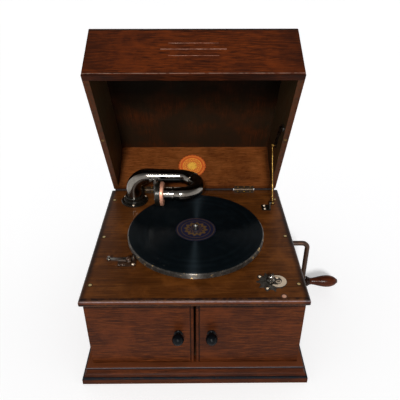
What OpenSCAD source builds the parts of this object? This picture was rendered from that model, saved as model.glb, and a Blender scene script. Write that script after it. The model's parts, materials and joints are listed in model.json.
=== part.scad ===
/* [Case] */
// Width of the motor board over its rounded edge
deck_w = 372; // [300:1:450]
// Depth of the motor board
deck_d = 352; // [280:1:430]
// Thickness of the motor board
deck_t = 15; // [10:0.5:22]
// Height of the motor board's top above the floor
deck_top = 187; // [160:1:230]
// How far the motor board stands out past the body
deck_over = 5.5; // [2:0.5:12]
// How far the plinth stands out past the body
plinth_over = 18.5; // [10:0.5:30]
// Height of the plinth moulding
plinth_h = 34; // [25:1:50]
// Thickness of the case side boards
side_t = 12; // [9:0.5:18]
// Thickness of the base board
base_t = 12; // [8:1:18]

/* [Doors] */
// Thickness of the doors
door_t = 13.5; // [10:0.5:18]
// Gap between the two doors
door_gap = 3.5; // [2:0.5:6]
// Gap between a door and the case front behind it
door_back_gap = 0.5; // [0.3:0.1:1.5]
// Radius of the door pivot pins
door_pin_r = 2.5; // [1.5:0.1:4]
// Distance of the knobs from the middle of the front
knob_x = 28; // [15:1:60]
// Height of the knobs
knob_z = 107; // [80:1:140]
// Diameter of the knob ball
knob_d = 20; // [14:1:28]

/* [Lid] */
// Setback of the lid from the edges of the motor board
lid_set = 6; // [3:0.5:12]
// Height of the lid
lid_h = 116; // [105:1:140]
// Thickness of the lid walls
lid_wall = 11; // [8:0.5:14]
// Thickness of the lid's top panel
lid_top_t = 8.5; // [6:0.5:12]
// Gap between the closed lid's rim and the motor board
lid_gap = 1; // [0.8:0.1:3]
// Angle of the open lid
lid_open = 62; // [45:1:75]
// Radius of the hinge knuckles
hinge_r = 2.8; // [2:0.1:4]
// Distance of the hinges from the middle
hinge_x = 109.5; // [60:0.5:140]
// Length of each hinge
hinge_l = 43; // [30:1:60]

/* [Lid stay] */
// Distance of the stay rod from the lid's right wall
stay_side = 7; // [6:0.5:15]
// Distance of the stay pivot from the hinge line
stay_back = 76.5; // [60:0.5:110]
// Height of the stay pivot above the motor board
stay_z = 12; // [8:0.5:20]
// Length of the stay rod between its pins
stay_l = 120; // [90:1:140]
// Slope of the stay rod with the lid open
stay_slope = 60.7; // [50:0.1:75]
// Radius of the stay's pivot pins
stay_pin_r = 2; // [1.5:0.1:3]

/* [Turntable] */
// Sideways place of the spindle
spindle_x = 2; // [-10:1:10]
// Depth place of the spindle
spindle_y = -9; // [-30:1:10]
// Radius of the turntable
platter_r = 127; // [110:1:140]
// Height of the turntable's rim
platter_h = 10; // [8:0.5:16]
// Height of the turntable's lower edge above the board
platter_z = 9; // [6:0.5:14]
// Radius of the record
record_r = 125; // [100:1:126]
// Thickness of the record
record_t = 2; // [1.5:0.1:3]
// Radius of the record pin at the spindle's free end
pin_r = 3.6; // [3.5:0.01:3.65]
// Length of the record pin above the record
pin_l = 10; // [6:0.5:14]

/* [Tonearm] */
// Distance of the tonearm's pivot from the left edge of the motor board
arm_side = 57; // [50:1:70]
// Distance of the tonearm's pivot from the back edge of the motor board
arm_back = 47; // [45:1:65]
// Height of the tonearm's axis above the board
arm_z = 61; // [50:0.5:70]
// Turn of the tonearm at rest, from straight across
arm_rest = -2; // [-10:0.5:5]
// Outer radius of the tonearm at its foot
arm_r = 15.5; // [12:0.1:18]
// Outer radius of the tonearm at its swivel
arm_end_r = 14; // [11:0.1:16]
// Wall of the tonearm tubes
arm_wall = 1.6; // [1:0.1:2.5]
// Bend radius at the tonearm's foot
foot_bend = 32; // [24:1:40]
// Bend radius of the crook
crook_bend = 33.5; // [28:0.5:42]
// Start of the crook's bend, from the pivot
crook_start = 97.8; // [80:0.1:110]
// Length of the swivel joint in the bend
swivel_l = 8; // [6:0.5:12]
// Radius of the tonearm's base flange
base_flange_r = 28.5; // [24:0.5:34]

/* [Soundbox] */
// Radius of the soundbox
box_r = 24.5; // [20:0.5:30]
// Thickness of the soundbox's case
box_t = 10; // [8:0.5:16]
// Distance of the needle's point from the soundbox's middle
needle_reach = 38.4; // [34:0.1:45]

/* [Crank] */
// Depth place of the crank's shaft
crank_y = 44; // [20:1:60]
// Height of the crank's shaft
crank_z = 134; // [120:1:150]
// Radius of the crank's rod
crank_r = 5; // [4:0.1:7]
// Reach of the crank's bend from the case side
crank_out = 52.5; // [40:0.5:80]
// Length of the crank's arm
crank_l = 103; // [80:1:115]
// Length of the wooden grip
grip_l = 67; // [50:1:90]

/* [Motor] */
// Teeth of the barrel's great wheel
great_teeth = 92; // [60:1:120]
// Teeth of the spindle's pinion
pinion_teeth = 14; // [12:1:20]
// Teeth of the crown wheel
crown_teeth = 36; // [24:1:48]
// Teeth of the winding pinion
wind_teeth = 12; // [10:1:16]
// Size of the winding teeth
wind_m = 1.25; // [1:0.05:1.6]
// Teeth of the governor's wheel
gov_teeth = 60; // [40:1:80]
// Starts of the governor's worm
worm_starts = 5; // [3:1:6]
// Size of the governor wheel's teeth
gov_m = 0.8; // [0.6:0.05:1]
// Height of the governor's axis
gov_z = 128; // [120:1:140]

/* [Fits] */
// Clearance of turning pins and shafts, on the radius
run_gap = 0.05; // [0.02:0.01:0.1]
// Clearance of moving pieces that do not bear
free_gap = 0.4; // [0.3:0.1:1]

/* [Hidden] */
$fn = 64;
body_w = deck_w - 2 * deck_over;
body_d = deck_d - 2 * deck_over;
body_x = body_w / 2;
body_y = body_d / 2;
lid_w = deck_w - 2 * lid_set;
lid_d = deck_d - 2 * lid_set;
crank_x = body_x + crank_out;
arm_x = arm_side - deck_w / 2;
arm_y = deck_d / 2 - arm_back;
deck_bot = deck_top - deck_t;
door_front = -body_y;
door_back = door_front + door_t;
case_front = door_back + door_back_gap;
rail_top = plinth_h + 0.5;
door_z0 = rail_top + 1.5;
door_z1 = deck_bot - 1;
door_pin_in = door_t / 2;
door_pin_x = body_x - door_pin_in;
door_pin_y = door_front + door_pin_in;
inner_x = body_x - side_t;
back_t = 12;
back_y0 = body_y - back_t;
hinge_y = lid_d / 2 + 0.7 + hinge_r;
hinge_z = deck_top + lid_gap / 2;
leaf_t = 1.2;
leaf_y0 = lid_d / 2 - lid_wall + 1;
leaf_y1 = hinge_y - hinge_r - 0.5;
hinge_pin_r = 1.3;
rim_z = deck_top + lid_gap;
lid_in_x = lid_w / 2 - lid_wall;
lid_in_y = lid_d / 2 - lid_wall;
stay_x = lid_in_x - stay_side;
stay_y = hinge_y - stay_back;
stay_ratio = (180 - stay_slope) / lid_open;
track_t = 3;
platter_top = deck_top + platter_z + platter_h;
spindle_r = 4;
hub_z = deck_top + 12;
arm_h = deck_top + arm_z;
swivel_r = arm_end_r - arm_wall - 0.4;
crook_y = -2 * crook_bend - swivel_l * sin(45);
crook_x = crook_start + swivel_l * cos(45);
neck_end = crook_x - 12.5;
box_back = crook_x - 31.5;
box_back_t = 6;
box_front = box_back - box_back_t - box_t;
neck_r = 12;
screw_x = deck_w / 2 - 13;
screw_ys = [deck_d / 2 - 45, -4, 37 - deck_d / 2];
barrel_x = spindle_x;
barrel_y = crank_y;
gear_m = 2 * (barrel_y - spindle_y) / (great_teeth + pinion_teeth);
plate_t = 3;
plate_lo = 98;
plate_hi = 157;
barrel_z0 = plate_lo + plate_t + 2;
barrel_z1 = barrel_z0 + 17.5;
barrel_r = 38;
arbor_r = 4;
wind_r = wind_m * wind_teeth / 2;
crown_r = wind_m * crown_teeth / 2;
crown_pitch_z = crank_z - wind_r;
crown_z = crown_pitch_z - 1.5;
gov_r = gov_m * gov_teeth / 2;
gov_helix = 30;
worm_r = gov_m * cos(gov_helix) / sin(gov_helix) * worm_starts / 2;
gov_y = spindle_y - gov_r - worm_r;
gov_w = 7;
worm_l = 16;
gov_x0 = -20;
gov_x1 = 64;
pillars = [[-44, -54], [62, -16], [-44, 88], [50, 88]];
pillar_r = 4;
bolt_r = 2.5;
horn_z0 = 40;
horn_z1 = 86;
horn_t = 6;
horn_in_x = inner_x - 6;
horn_knee_y = -80;
horn_front_z = deck_bot - horn_t;
throat_r = 19;
throat_x = arm_x;
throat_y = arm_y;
bore_r = arm_r - arm_wall;
brake_p = [spindle_x - 118, spindle_y - 71];
brake_z = deck_top + 5;
reg_x = deck_w / 2 - 60;
reg_y = 41 - deck_d / 2;
reg_t = 1.6;
reg_r = 23;
reg_lobes = 10;
reg_screws = [[-16, 13], [-7, -16], [12.5, 9.5]];
scroll_p = [13, 1];
scroll_r = 14.5;
lever_p = [reg_x - 28, reg_y + 39];
lever_z = 163.5;

function arc(c, r, a0, a1, n) = [for (i = [0:n]) c + r * [cos(a0 + (a1 - a0) * i / n), sin(a0 + (a1 - a0) * i / n)]];

function round_rect(x0, y0, x1, y1, r) = concat(
    arc([x1 - r, y1 - r], r, 0, 90, 6),
    arc([x0 + r, y1 - r], r, 90, 180, 6),
    arc([x0 + r, y0 + r], r, 180, 270, 6),
    arc([x1 - r, y0 + r], r, 270, 360, 6));

function inv(a) = tan(a) - a * PI / 180;

function flank(p, r) = r <= p[1] ? p[2] : p[2] - inv(acos(p[1] / r)) * 180 / PI;

function gear_points(n, m, back, add, ded) =
    let (r = m * n / 2, rb = r * cos(20), ra = r + add, rf = r - ded)
    let (p = [r, rb, (PI * m / 2 - back) / (2 * r) * 180 / PI + inv(20) * 180 / PI])
    [for (i = [0:n - 1], s = [-1, 1], k = [0:2])
        let (q = s < 0 ? k : 2 - k, rr = q == 0 ? rf : q == 1 ? r : ra)
        rr * [cos(i * 360 / n + s * flank(p, rr)), sin(i * 360 / n + s * flank(p, rr))]];

function helix_points(n, r, wide, add, ded) = [for (i = [0:n - 1], k = [0:3])
    let (w = (k == 0 || k == 3 ? 1.25 : 0.7) * wide, rr = k == 0 || k == 3 ? r - ded : r + add)
    let (a = i * 360 / n + (k < 2 ? -1 : 1) * w / (2 * rr) * 180 / PI)
    rr * [cos(a), sin(a)]];

function turn(p, a) = [p[0] * cos(a) - p[1] * sin(a), p[0] * sin(a) + p[1] * cos(a)];

function stay_world(t) = [stay_y, deck_top + stay_z]
    + stay_l * [cos(stay_slope + stay_ratio * t), sin(stay_slope + stay_ratio * t)];

function stay_in_lid(t) = turn(stay_world(t) - [hinge_y, hinge_z], lid_open - t) + [hinge_y, hinge_z];

function stay_normal(t) = let (d = stay_in_lid(t + 0.5) - stay_in_lid(t - 0.5)) [-d[1], d[0]] / norm(d);

function stay_strip(t0, t1, w) = concat(
    [for (i = [0:24]) let (t = t0 + (t1 - t0) * i / 24) stay_in_lid(t) + w * stay_normal(t)],
    [for (i = [24:-1:0]) let (t = t0 + (t1 - t0) * i / 24) stay_in_lid(t) - w * stay_normal(t)]);

module board(x0, x1, y0, y1, z0, z1) {
    translate([x0, y0, z0]) cube([x1 - x0, y1 - y0, z1 - z0]);
}

module rod_x(x0, x1, y, z, r1, r2) {
    translate([x0, y, z]) rotate([0, 90, 0]) cylinder(h = x1 - x0, r1 = r1, r2 = r2);
}

module rod_z(x, y, z0, z1, r) {
    translate([x, y, z0]) cylinder(h = z1 - z0, r = r);
}

module turned_x(x, y, z) {
    translate([x, y, z]) rotate([0, 90, 0]) rotate_extrude() children();
}

module lid_place() {
    translate([0, hinge_y, hinge_z]) rotate([-lid_open, 0, 0]) translate([0, -hinge_y, -hinge_z]) children();
}

module arm_place() {
    translate([arm_x, arm_y, arm_h]) rotate([0, 0, arm_rest]) children();
}

module yz_slab(x0, x1) {
    translate([x0, 0, 0]) rotate([90, 0, 90]) linear_extrude(height = x1 - x0) children();
}

module base_board() {
    color("saddlebrown") board(-body_x, body_x, -body_y, body_y, 0, base_t);
}

module plinth_profile() {
    polygon(concat([[0, 0], [plinth_over, 0], [plinth_over, 11]],
        arc([plinth_over - 3, 11], 3, 0, 90, 5),
        arc([plinth_over + 3.5, 27], 11.8, 234, 180, 7),
        [[10.2, 28.4]],
        arc([8.2, plinth_h - 2.8], 2.8, -30, 90, 6),
        [[0, plinth_h]]));
}

module plinth_run(length, depth) {
    intersection() {
        translate([0, depth, 0]) rotate([90, 0, 90])
            linear_extrude(height = length + 4 * plinth_over, center = true) plinth_profile();
        linear_extrude(height = plinth_h + 1) polygon([[-length / 2, depth], [length / 2, depth],
            [length / 2 + plinth_over, depth + plinth_over], [-length / 2 - plinth_over, depth + plinth_over]]);
    }
}

module plinth() {
    color("sienna") {
        for (a = [0, 180]) rotate([0, 0, a]) plinth_run(body_w, body_y);
        for (a = [90, 270]) rotate([0, 0, a]) plinth_run(body_d, body_x);
    }
}

module side_left() {
    color("sienna") board(-body_x, -inner_x, case_front, body_y, base_t, deck_bot);
}

module side_right() {
    color("sienna") difference() {
        board(inner_x, body_x, case_front, body_y, base_t, deck_bot);
        rod_x(inner_x - 1, body_x + 1, crank_y, crank_z, crank_r + 3, crank_r + 3);
    }
}

module back_panel() {
    color("sienna") board(-inner_x, inner_x, back_y0, body_y, base_t, deck_bot);
}

module front_rail() {
    color("sienna") difference() {
        board(-body_x, body_x, door_front, case_front, base_t, rail_top);
        for (s = [-1, 1]) rod_z(s * door_pin_x, door_pin_y, rail_top - 10, rail_top + 1, door_pin_r);
    }
}

module motor_board() {
    color("peru") difference() {
        intersection() {
            yz_slab(-deck_w / 2, deck_w / 2)
                polygon(round_rect(-deck_d / 2, deck_bot, deck_d / 2, deck_top, 5));
            translate([0, deck_d / 2, 0]) rotate([90, 0, 0]) linear_extrude(height = deck_d)
                polygon(round_rect(-deck_w / 2, deck_bot, deck_w / 2, deck_top, 5));
        }
        rod_z(spindle_x, spindle_y, deck_bot - 1, deck_top + 1, spindle_r + 4);
        rod_z(arm_x, arm_y, deck_bot - 1, deck_top + 1, bore_r);
        rod_z(reg_x, reg_y, deck_bot - 1, deck_top + 1, 3 + run_gap);
        rod_z(lever_p[0], lever_p[1], deck_bot - 1, deck_bot + 8, 2.5 + run_gap);
        for (p = pillars) rod_z(p[0], p[1], deck_bot - 1, deck_top + 1, bolt_r);
        for (s = [-1, 1]) rod_z(s * door_pin_x, door_pin_y, deck_bot - 1, deck_bot + 8, door_pin_r);
        for (s = [-1, 1], y = screw_ys) deck_screw(s * screw_x, y);
        for (s = [-1, 1]) translate([s * hinge_x, 0, 0]) hinge_pocket();
    }
}

module hinge_pocket() {
    board(-hinge_l / 2, hinge_l / 2, leaf_y0, hinge_y, deck_top - leaf_t, deck_top + 1);
    board(-hinge_l / 2 - 1, hinge_l / 2 + 1, leaf_y1, deck_d / 2 + 1, hinge_z - hinge_r - 0.5, deck_top + 1);
}

module deck_screw(x, y) {
    translate([x, y, deck_top - 2.5]) cylinder(h = 2.5, r1 = 1.5, r2 = 4);
    rod_z(x, y, deck_bot - 1, deck_top - 2, 1.5);
}

module deck_screws() {
    color("gold") for (s = [-1, 1], y = screw_ys) difference() {
        union() {
            deck_screw(s * screw_x, y);
            rod_z(s * screw_x, y, deck_top, deck_top + 0.4, 4);
        }
        translate([s * screw_x - 5, y - 0.4, deck_top - 0.4]) cube([10, 0.8, 2]);
        rod_z(s * screw_x, y, deck_bot - 2, deck_bot, 3);
    }
}

small_screw_at = [for (a = [30, 150, 270]) [arm_x + 25 * cos(a), arm_y + 25 * sin(a), deck_top + 3],
    for (p = reg_screws) [reg_x + p[0], reg_y + p[1], deck_top + reg_t],
    [stay_x - 16, stay_y - 6, deck_top + 2], [stay_x - 16, stay_y + 6, deck_top + 2],
    [brake_p[0] + 8, brake_p[1] - 8, deck_top + 2], [brake_p[0] - 13, brake_p[1] + 6, deck_top + 2]];

module small_screws() {
    color("gold") for (p = small_screw_at) translate(p) difference() {
        rotate_extrude() polygon(concat([[0, 0], [2.6, 0]], arc([0, -1.2], 2.87, 25, 90, 5)));
        translate([-4, -0.3, 0.9]) cube([8, 0.6, 2]);
    }
}

module button_disc() {
    color("peru") rod_z(deck_w / 2 - 42.3, 8 - deck_d / 2, deck_top, deck_top + 0.8, 5.3);
}

module door_pivots() {
    color("gold") for (s = [-1, 1]) {
        rod_z(s * door_pin_x, door_pin_y, rail_top - 10, door_z0 + 10, door_pin_r);
        rod_z(s * door_pin_x, door_pin_y, door_z1 - 10, deck_bot + 8, door_pin_r);
    }
}

module hinge_knuckle(x0, x1, z0, side) {
    difference() {
        union() {
            rod_x(x0, x1, hinge_y, hinge_z, hinge_r, hinge_r);
            board(x0, x1, leaf_y1 - 1, hinge_y, z0, z0 + leaf_t);
        }
        rod_x(x0 - 1, x1 + 1, hinge_y, hinge_z, hinge_pin_r + side, hinge_pin_r + side);
    }
}

module hinge_deck_leaves() {
    third = hinge_l / 3;
    color("gold") for (s = [-1, 1]) translate([s * hinge_x, 0, 0]) {
        board(-hinge_l / 2, hinge_l / 2, leaf_y0, leaf_y1 - 0.5, deck_top - leaf_t, deck_top);
        for (k = [-1, 1]) hinge_knuckle(k * third - third / 2, k * third + third / 2, deck_top - leaf_t, -0.2);
        rod_x(-hinge_l / 2, hinge_l / 2, hinge_y, hinge_z, hinge_pin_r, hinge_pin_r);
    }
}

module hinge_lid_leaves() {
    third = hinge_l / 3;
    color("gold") lid_place() for (s = [-1, 1]) translate([s * hinge_x, 0, 0]) {
        board(-hinge_l / 2, hinge_l / 2, leaf_y0, leaf_y1 - 0.5, rim_z, rim_z + leaf_t);
        hinge_knuckle(-third / 2 + 0.3, third / 2 - 0.3, rim_z, run_gap);
    }
}

module lid_profile() {
    polygon(concat(
        [[-lid_d / 2, rim_z], [lid_d / 2, rim_z]],
        arc([lid_d / 2 - 7, rim_z + lid_h - 7], 7, 0, 90, 6),
        arc([-lid_d / 2 + 7, rim_z + lid_h - 7], 7, 90, 180, 6)));
}

module lid_front() {
    top = rim_z + lid_h - lid_top_t;
    color("sienna") lid_place() difference() {
        board(-lid_w / 2, lid_w / 2, -lid_d / 2, -lid_in_y, rim_z, top);
        for (g = [[75.5, 42, 1], [61, 55.5, 1.6], [45.5, 42.5, 1]])
            board(-g[1], g[1], -lid_d / 2 - 1, -lid_d / 2 + 0.8, rim_z + g[0] - g[2] / 2, rim_z + g[0] + g[2] / 2);
    }
}

module lid_back() {
    color("sienna") lid_place() difference() {
        board(-lid_w / 2, lid_w / 2, lid_in_y, lid_d / 2, rim_z, rim_z + lid_h - lid_top_t);
        for (s = [-1, 1]) translate([s * hinge_x, 0, 0])
            board(-hinge_l / 2, hinge_l / 2, leaf_y0, lid_d / 2 + 1, rim_z - 1, rim_z + leaf_t);
    }
}

module lid_side(s) {
    difference() {
        board(min(s * lid_in_x, s * lid_w / 2), max(s * lid_in_x, s * lid_w / 2), -lid_in_y, lid_in_y,
            rim_z, rim_z + lid_h - lid_top_t);
        lid_stud(s);
    }
}

module lid_stud(s) {
    rod_z(s * (screw_x + 1), screw_ys[1], rim_z, rim_z + 4, 3);
}

module lid_left() {
    color("sienna") lid_place() lid_side(-1);
}

module lid_right() {
    color("sienna") lid_place() lid_side(1);
}

module lid_top() {
    edge = 7;
    color("sienna") lid_place() intersection() {
        board(-lid_w / 2, lid_w / 2, -lid_d / 2, lid_d / 2, rim_z + lid_h - lid_top_t, rim_z + lid_h);
        yz_slab(-lid_w, lid_w) lid_profile();
        translate([0, lid_d, 0]) rotate([90, 0, 0]) linear_extrude(height = 2 * lid_d)
            polygon(round_rect(-lid_w / 2, rim_z - 9, lid_w / 2, rim_z + lid_h, edge));
    }
}

module lid_studs() {
    color("gold") lid_place() for (s = [-1, 1]) lid_stud(s);
}

module stay_bracket() {
    color("dimgray") {
        board(stay_x - 22, stay_x - 4, stay_y - 10, stay_y + 10, deck_top, deck_top + 2);
        yz_slab(stay_x - 7, stay_x - 4) polygon(concat([[stay_y + 8, deck_top + 2]],
            arc([stay_y, deck_top + stay_z], 5, 0, 180, 8), [[stay_y - 8, deck_top + 2]]));
        rod_x(stay_x - 5, stay_x + 2, stay_y, deck_top + stay_z, stay_pin_r, stay_pin_r);
        rod_x(stay_x + 2, stay_x + 3.5, stay_y, deck_top + stay_z, stay_pin_r + 1.5, stay_pin_r + 1.5);
    }
}

module stay_rod() {
    top = stay_world(0);
    color("gold") difference() {
        union() {
            rod_x(stay_x - 1.6, stay_x + 1.6, stay_y, deck_top + stay_z, 4.5, 4.5);
            translate([stay_x, stay_y, deck_top + stay_z]) rotate([stay_slope - 90, 0, 0])
                translate([0, 0, 3]) cylinder(h = stay_l - 5, r = 1.6);
            rod_x(stay_x - 1.6, stay_x + 1.6, top[0], top[1], 4, 4);
            rod_x(stay_x, lid_in_x - 0.8, top[0], top[1], 1.5, 1.5);
        }
        rod_x(stay_x - 3, stay_x + 3, stay_y, deck_top + stay_z, stay_pin_r + run_gap, stay_pin_r + run_gap);
    }
}

module stay_track() {
    ends = [stay_in_lid(0), stay_in_lid(lid_open)];
    color("dimgray") lid_place() difference() {
        union() {
            yz_slab(lid_in_x - track_t, lid_in_x) polygon(stay_strip(0, lid_open, 5));
            for (e = ends) rod_x(lid_in_x - track_t, lid_in_x, e[0], e[1], 5.3, 5.3);
        }
        yz_slab(lid_in_x - track_t - 1, lid_in_x + 1) polygon(stay_strip(0, lid_open, 1.5 + free_gap));
        for (e = ends) rod_x(lid_in_x - track_t - 1, lid_in_x + 1, e[0], e[1], 1.65 + free_gap, 1.65 + free_gap);
    }
}

module door_panel(s) {
    corner = concat([[door_gap / 2, door_front], [body_x, door_front]],
        arc([door_pin_x, door_pin_y], door_pin_in, 0, 90, 8), [[door_gap / 2, door_back]]);
    difference() {
        union() {
            translate([0, 0, door_z0]) linear_extrude(height = door_z1 - door_z0)
                polygon([for (p = corner) [s * p[0], p[1]]]);
            rod_z(s * (door_gap / 2 + 2.6), door_front + 0.4, door_z0, door_z1, 2.6);
        }
        board(min(s * (door_gap / 2 + 5.2), s * (door_gap / 2 + 6.4)),
            max(s * (door_gap / 2 + 5.2), s * (door_gap / 2 + 6.4)), door_front - 1, door_front + 1,
            door_z0 - 1, door_z1 + 1);
        rod_z(s * door_pin_x, door_pin_y, door_z0 - 1, door_z0 + 10.5, door_pin_r + run_gap);
        rod_z(s * door_pin_x, door_pin_y, door_z1 - 10.5, door_z1 + 1, door_pin_r + run_gap);
    }
}

module door_left() {
    color("sienna") door_panel(-1);
}

module door_right() {
    color("sienna") door_panel(1);
}

module door_knob(s) {
    translate([s * knob_x, door_front, knob_z]) rotate([90, 0, 0]) rotate_extrude()
        polygon(concat([[0, 0], [7, 0], [7, 1.6], [4.6, 3.2], [4.2, 6]],
            arc([0, 14], knob_d / 2, -50, 90, 14)));
}

module knob_left() {
    color("black") door_knob(-1);
}

module knob_right() {
    color("black") door_knob(1);
}

module horn_plan() {
    polygon([[-horn_in_x, case_front], [horn_in_x, case_front], [horn_in_x, -70], [-60, back_y0], [-horn_in_x, back_y0]]);
}

module horn_floor() {
    color("burlywood") translate([0, 0, horn_z0 - horn_t]) linear_extrude(height = horn_t) horn_plan();
}

module horn_side_profile(y1) {
    polygon([[case_front, horn_z0 - horn_t], [y1, horn_z0 - horn_t], [y1, horn_z1 + horn_t],
        [horn_knee_y, horn_z1 + horn_t], [case_front, horn_front_z + horn_t]]);
}

module horn_left() {
    color("burlywood") yz_slab(-horn_in_x - horn_t, -horn_in_x) horn_side_profile(back_y0);
}

module horn_right() {
    color("burlywood") {
        yz_slab(horn_in_x, horn_in_x + horn_t) horn_side_profile(-70);
        translate([0, 0, horn_z0 - horn_t]) linear_extrude(height = horn_z1 - horn_z0 + 2 * horn_t)
            polygon([[horn_in_x, -70], [horn_in_x + horn_t, -70], [-52, back_y0], [-60, back_y0]]);
    }
}

module horn_rear_ceiling() {
    color("burlywood") translate([0, 0, horn_z1]) linear_extrude(height = horn_t) difference() {
        polygon([[-horn_in_x, horn_knee_y], [horn_in_x, horn_knee_y], [horn_in_x, -70], [-60, back_y0],
            [-horn_in_x, back_y0]]);
        translate([throat_x, throat_y]) circle(r = throat_r);
    }
}

module horn_front_ceiling() {
    color("burlywood") yz_slab(-horn_in_x, horn_in_x) polygon([[case_front, horn_front_z],
        [horn_knee_y, horn_z1], [horn_knee_y, horn_z1 + horn_t], [case_front, horn_front_z + horn_t]]);
}

module throat_pipe() {
    color("dimgray") difference() {
        union() {
            rod_z(throat_x, throat_y, horn_z1, deck_bot, throat_r);
            rod_z(throat_x, throat_y, deck_bot - 3, deck_bot, throat_r + 7);
        }
        rod_z(throat_x, throat_y, horn_z1 - 1, deck_bot + 1, bore_r);
    }
}

module tonearm_base() {
    color("dimgray") translate([arm_x, arm_y, deck_top]) rotate_extrude()
        polygon(concat([[bore_r, 0], [base_flange_r, 0], [base_flange_r, 2]],
            [[base_flange_r - 1, 3], [22.5, 3]], arc([21, 6.5], 1.5, 0, 90, 4),
            [[19.5, 8], [19.5, 13]], arc([18, 13], 1.5, 0, 90, 4),
            [[arm_r + run_gap, 14.5], [arm_r + run_gap, 3], [bore_r, 3]]));
}

module brake_plate() {
    color("dimgray") {
        translate([brake_p[0], brake_p[1], deck_top]) linear_extrude(height = 2)
            polygon(round_rect(-19, -12, 13, 11, 4));
        rod_z(brake_p[0], brake_p[1], deck_top + 2, brake_z - 0.2, 5);
        rod_z(brake_p[0], brake_p[1], brake_z - 0.3, brake_z + 3.3, 2.5);
        translate([brake_p[0], brake_p[1], brake_z + 3.2]) rotate_extrude()
            polygon(concat([[0, 0]], arc([0, -2.2], 5.46, 24, 90, 6)));
    }
}

module regulator_plate() {
    color("dimgray") translate([reg_x, reg_y, deck_top]) {
        linear_extrude(height = reg_t) difference() {
            union() {
                difference() {
                    circle(r = reg_r);
                    for (i = [1:reg_lobes]) rotate(15 + i * 360 / reg_lobes) translate([reg_r + 1, 0]) circle(r = 6.5);
                }
                translate(scroll_p) circle(r = scroll_r);
                for (p = reg_screws) translate(p) circle(r = 4.2);
            }
            circle(r = 3 + run_gap);
        }
        // raised crescent and the eye of its scroll
        translate([0, 0, reg_t - 0.2]) linear_extrude(height = 1.2) difference() {
            translate(scroll_p) circle(r = scroll_r - 0.4);
            translate(scroll_p + [-4, 1.5]) circle(r = scroll_r - 4);
            circle(r = 8);
        }
        translate([scroll_p[0] + 0.5, scroll_p[1] - 1, reg_t - 0.2]) difference() {
            cylinder(h = 1.2, r = 4.4);
            translate([0, 0, -1]) cylinder(h = 3, r = 2.8);
        }
    }
}

module regulator_knob() {
    color("dimgray") {
        rod_z(reg_x, reg_y, lever_z, deck_top + 3, 3);
        translate([reg_x, reg_y, deck_top + 3]) rotate_extrude()
            polygon(concat([[0, 0], [6.5, 0], [6.5, 3], [4, 5]], arc([0, 8.5], 4.5, -30, 90, 8)));
        translate([reg_x + 5, reg_y - 1, deck_top + 4]) cube([11, 2, 1.2]);
        rod_z(reg_x - 1.3, reg_y + 1.5, lever_z, lever_z + 3, 7.5);
    }
}

module speed_lever() {
    end = [62, gov_y - 11.5];
    cam_end = [reg_x - 9.5, reg_y + 11.5];
    color("silver") {
        rod_z(lever_p[0], lever_p[1], lever_z, deck_bot + 7.5, 2.5);
        translate([0, 0, lever_z]) linear_extrude(height = 3) {
            for (p = [end, cam_end]) {
                d = (p - lever_p) / norm(p - lever_p);
                n = 3.5 * [-d[1], d[0]];
                polygon([lever_p + n, p + n, p - n, lever_p - n]);
                translate(p) circle(r = 3.5);
            }
            translate(lever_p) circle(r = 6);
        }
        board(60.4, 63, gov_y - 14.5, gov_y - 9.5, gov_z - 6, lever_z + 1);
        board(58.6, 60.4, gov_y - 14.5, gov_y - 8, gov_z - 4, gov_z + 4);
    }
}

module crank_escutcheon() {
    color("dimgray") turned_x(0, crank_y, crank_z) polygon([[crank_r + run_gap, inner_x], [crank_r + 3, inner_x],
        [crank_r + 3, body_x], [15, body_x], [15, body_x + 1.5], [13.5, body_x + 2.5], [crank_r + run_gap, body_x + 2.5]]);
}

module motor_top_plate() {
    color("silver") difference() {
        union() {
            translate([0, 0, plate_hi]) linear_extrude(height = plate_t)
                polygon([[-50, -60], [48, -60], [48, -24], [68, -24], [68, 94], [-50, 94]]);
            board(54, 58, crank_y - 9, crank_y + 9, crank_z - 9, plate_hi);
            for (p = pillars) rod_z(p[0], p[1], plate_hi + plate_t, deck_bot, pillar_r + 2);
        }
        rod_x(53, 59, crank_y, crank_z, crank_r + run_gap, crank_r + run_gap);
        rod_z(spindle_x, spindle_y, plate_hi - 1, plate_hi + plate_t + 1, spindle_r + run_gap);
        rod_z(barrel_x, barrel_y, plate_hi - 1, plate_hi + plate_t + 1, arbor_r + run_gap);
        for (p = pillars) rod_z(p[0], p[1], plate_hi - 1, deck_bot + 1, bolt_r);
    }
}

module motor_frame() {
    color("silver") {
        difference() {
            union() {
                board(-50, 68, -60, 94, plate_lo, plate_lo + plate_t);
                for (x = [gov_x0 - 3, gov_x1]) board(x, x + 3, gov_y - 3.5, gov_y + 3.5, plate_lo + plate_t, gov_z + 5);
            }
            rod_z(spindle_x, spindle_y, plate_lo + 1, plate_lo + plate_t + 1, spindle_r + run_gap);
            rod_z(barrel_x, barrel_y, plate_lo + 1, plate_lo + plate_t + 1, arbor_r + run_gap);
            for (x = [gov_x0 - 4, gov_x1 - 1]) rod_x(x, x + 5, gov_y, gov_z, 1.5 + run_gap, 1.5 + run_gap);
        }
        for (p = pillars) {
            rod_z(p[0], p[1], plate_lo + plate_t, plate_hi, pillar_r);
            rod_z(p[0], p[1], plate_hi, deck_top + 1, bolt_r);
            rod_z(p[0], p[1], deck_top, deck_top + 3, bolt_r + 2);
        }
    }
}

module platter() {
    color("silver") translate([spindle_x, spindle_y, deck_top]) rotate_extrude()
        polygon([[spindle_r, 12], [14, 12], [16, platter_z + platter_h - 2], [platter_r - 2.5, platter_z + platter_h - 2],
            [platter_r - 2.5, platter_z], [platter_r - 0.6, platter_z], [platter_r, platter_z + 0.6],
            [platter_r, platter_z + platter_h - 1.5], [platter_r - 1.5, platter_z + platter_h],
            [spindle_r, platter_z + platter_h]]);
}

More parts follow.
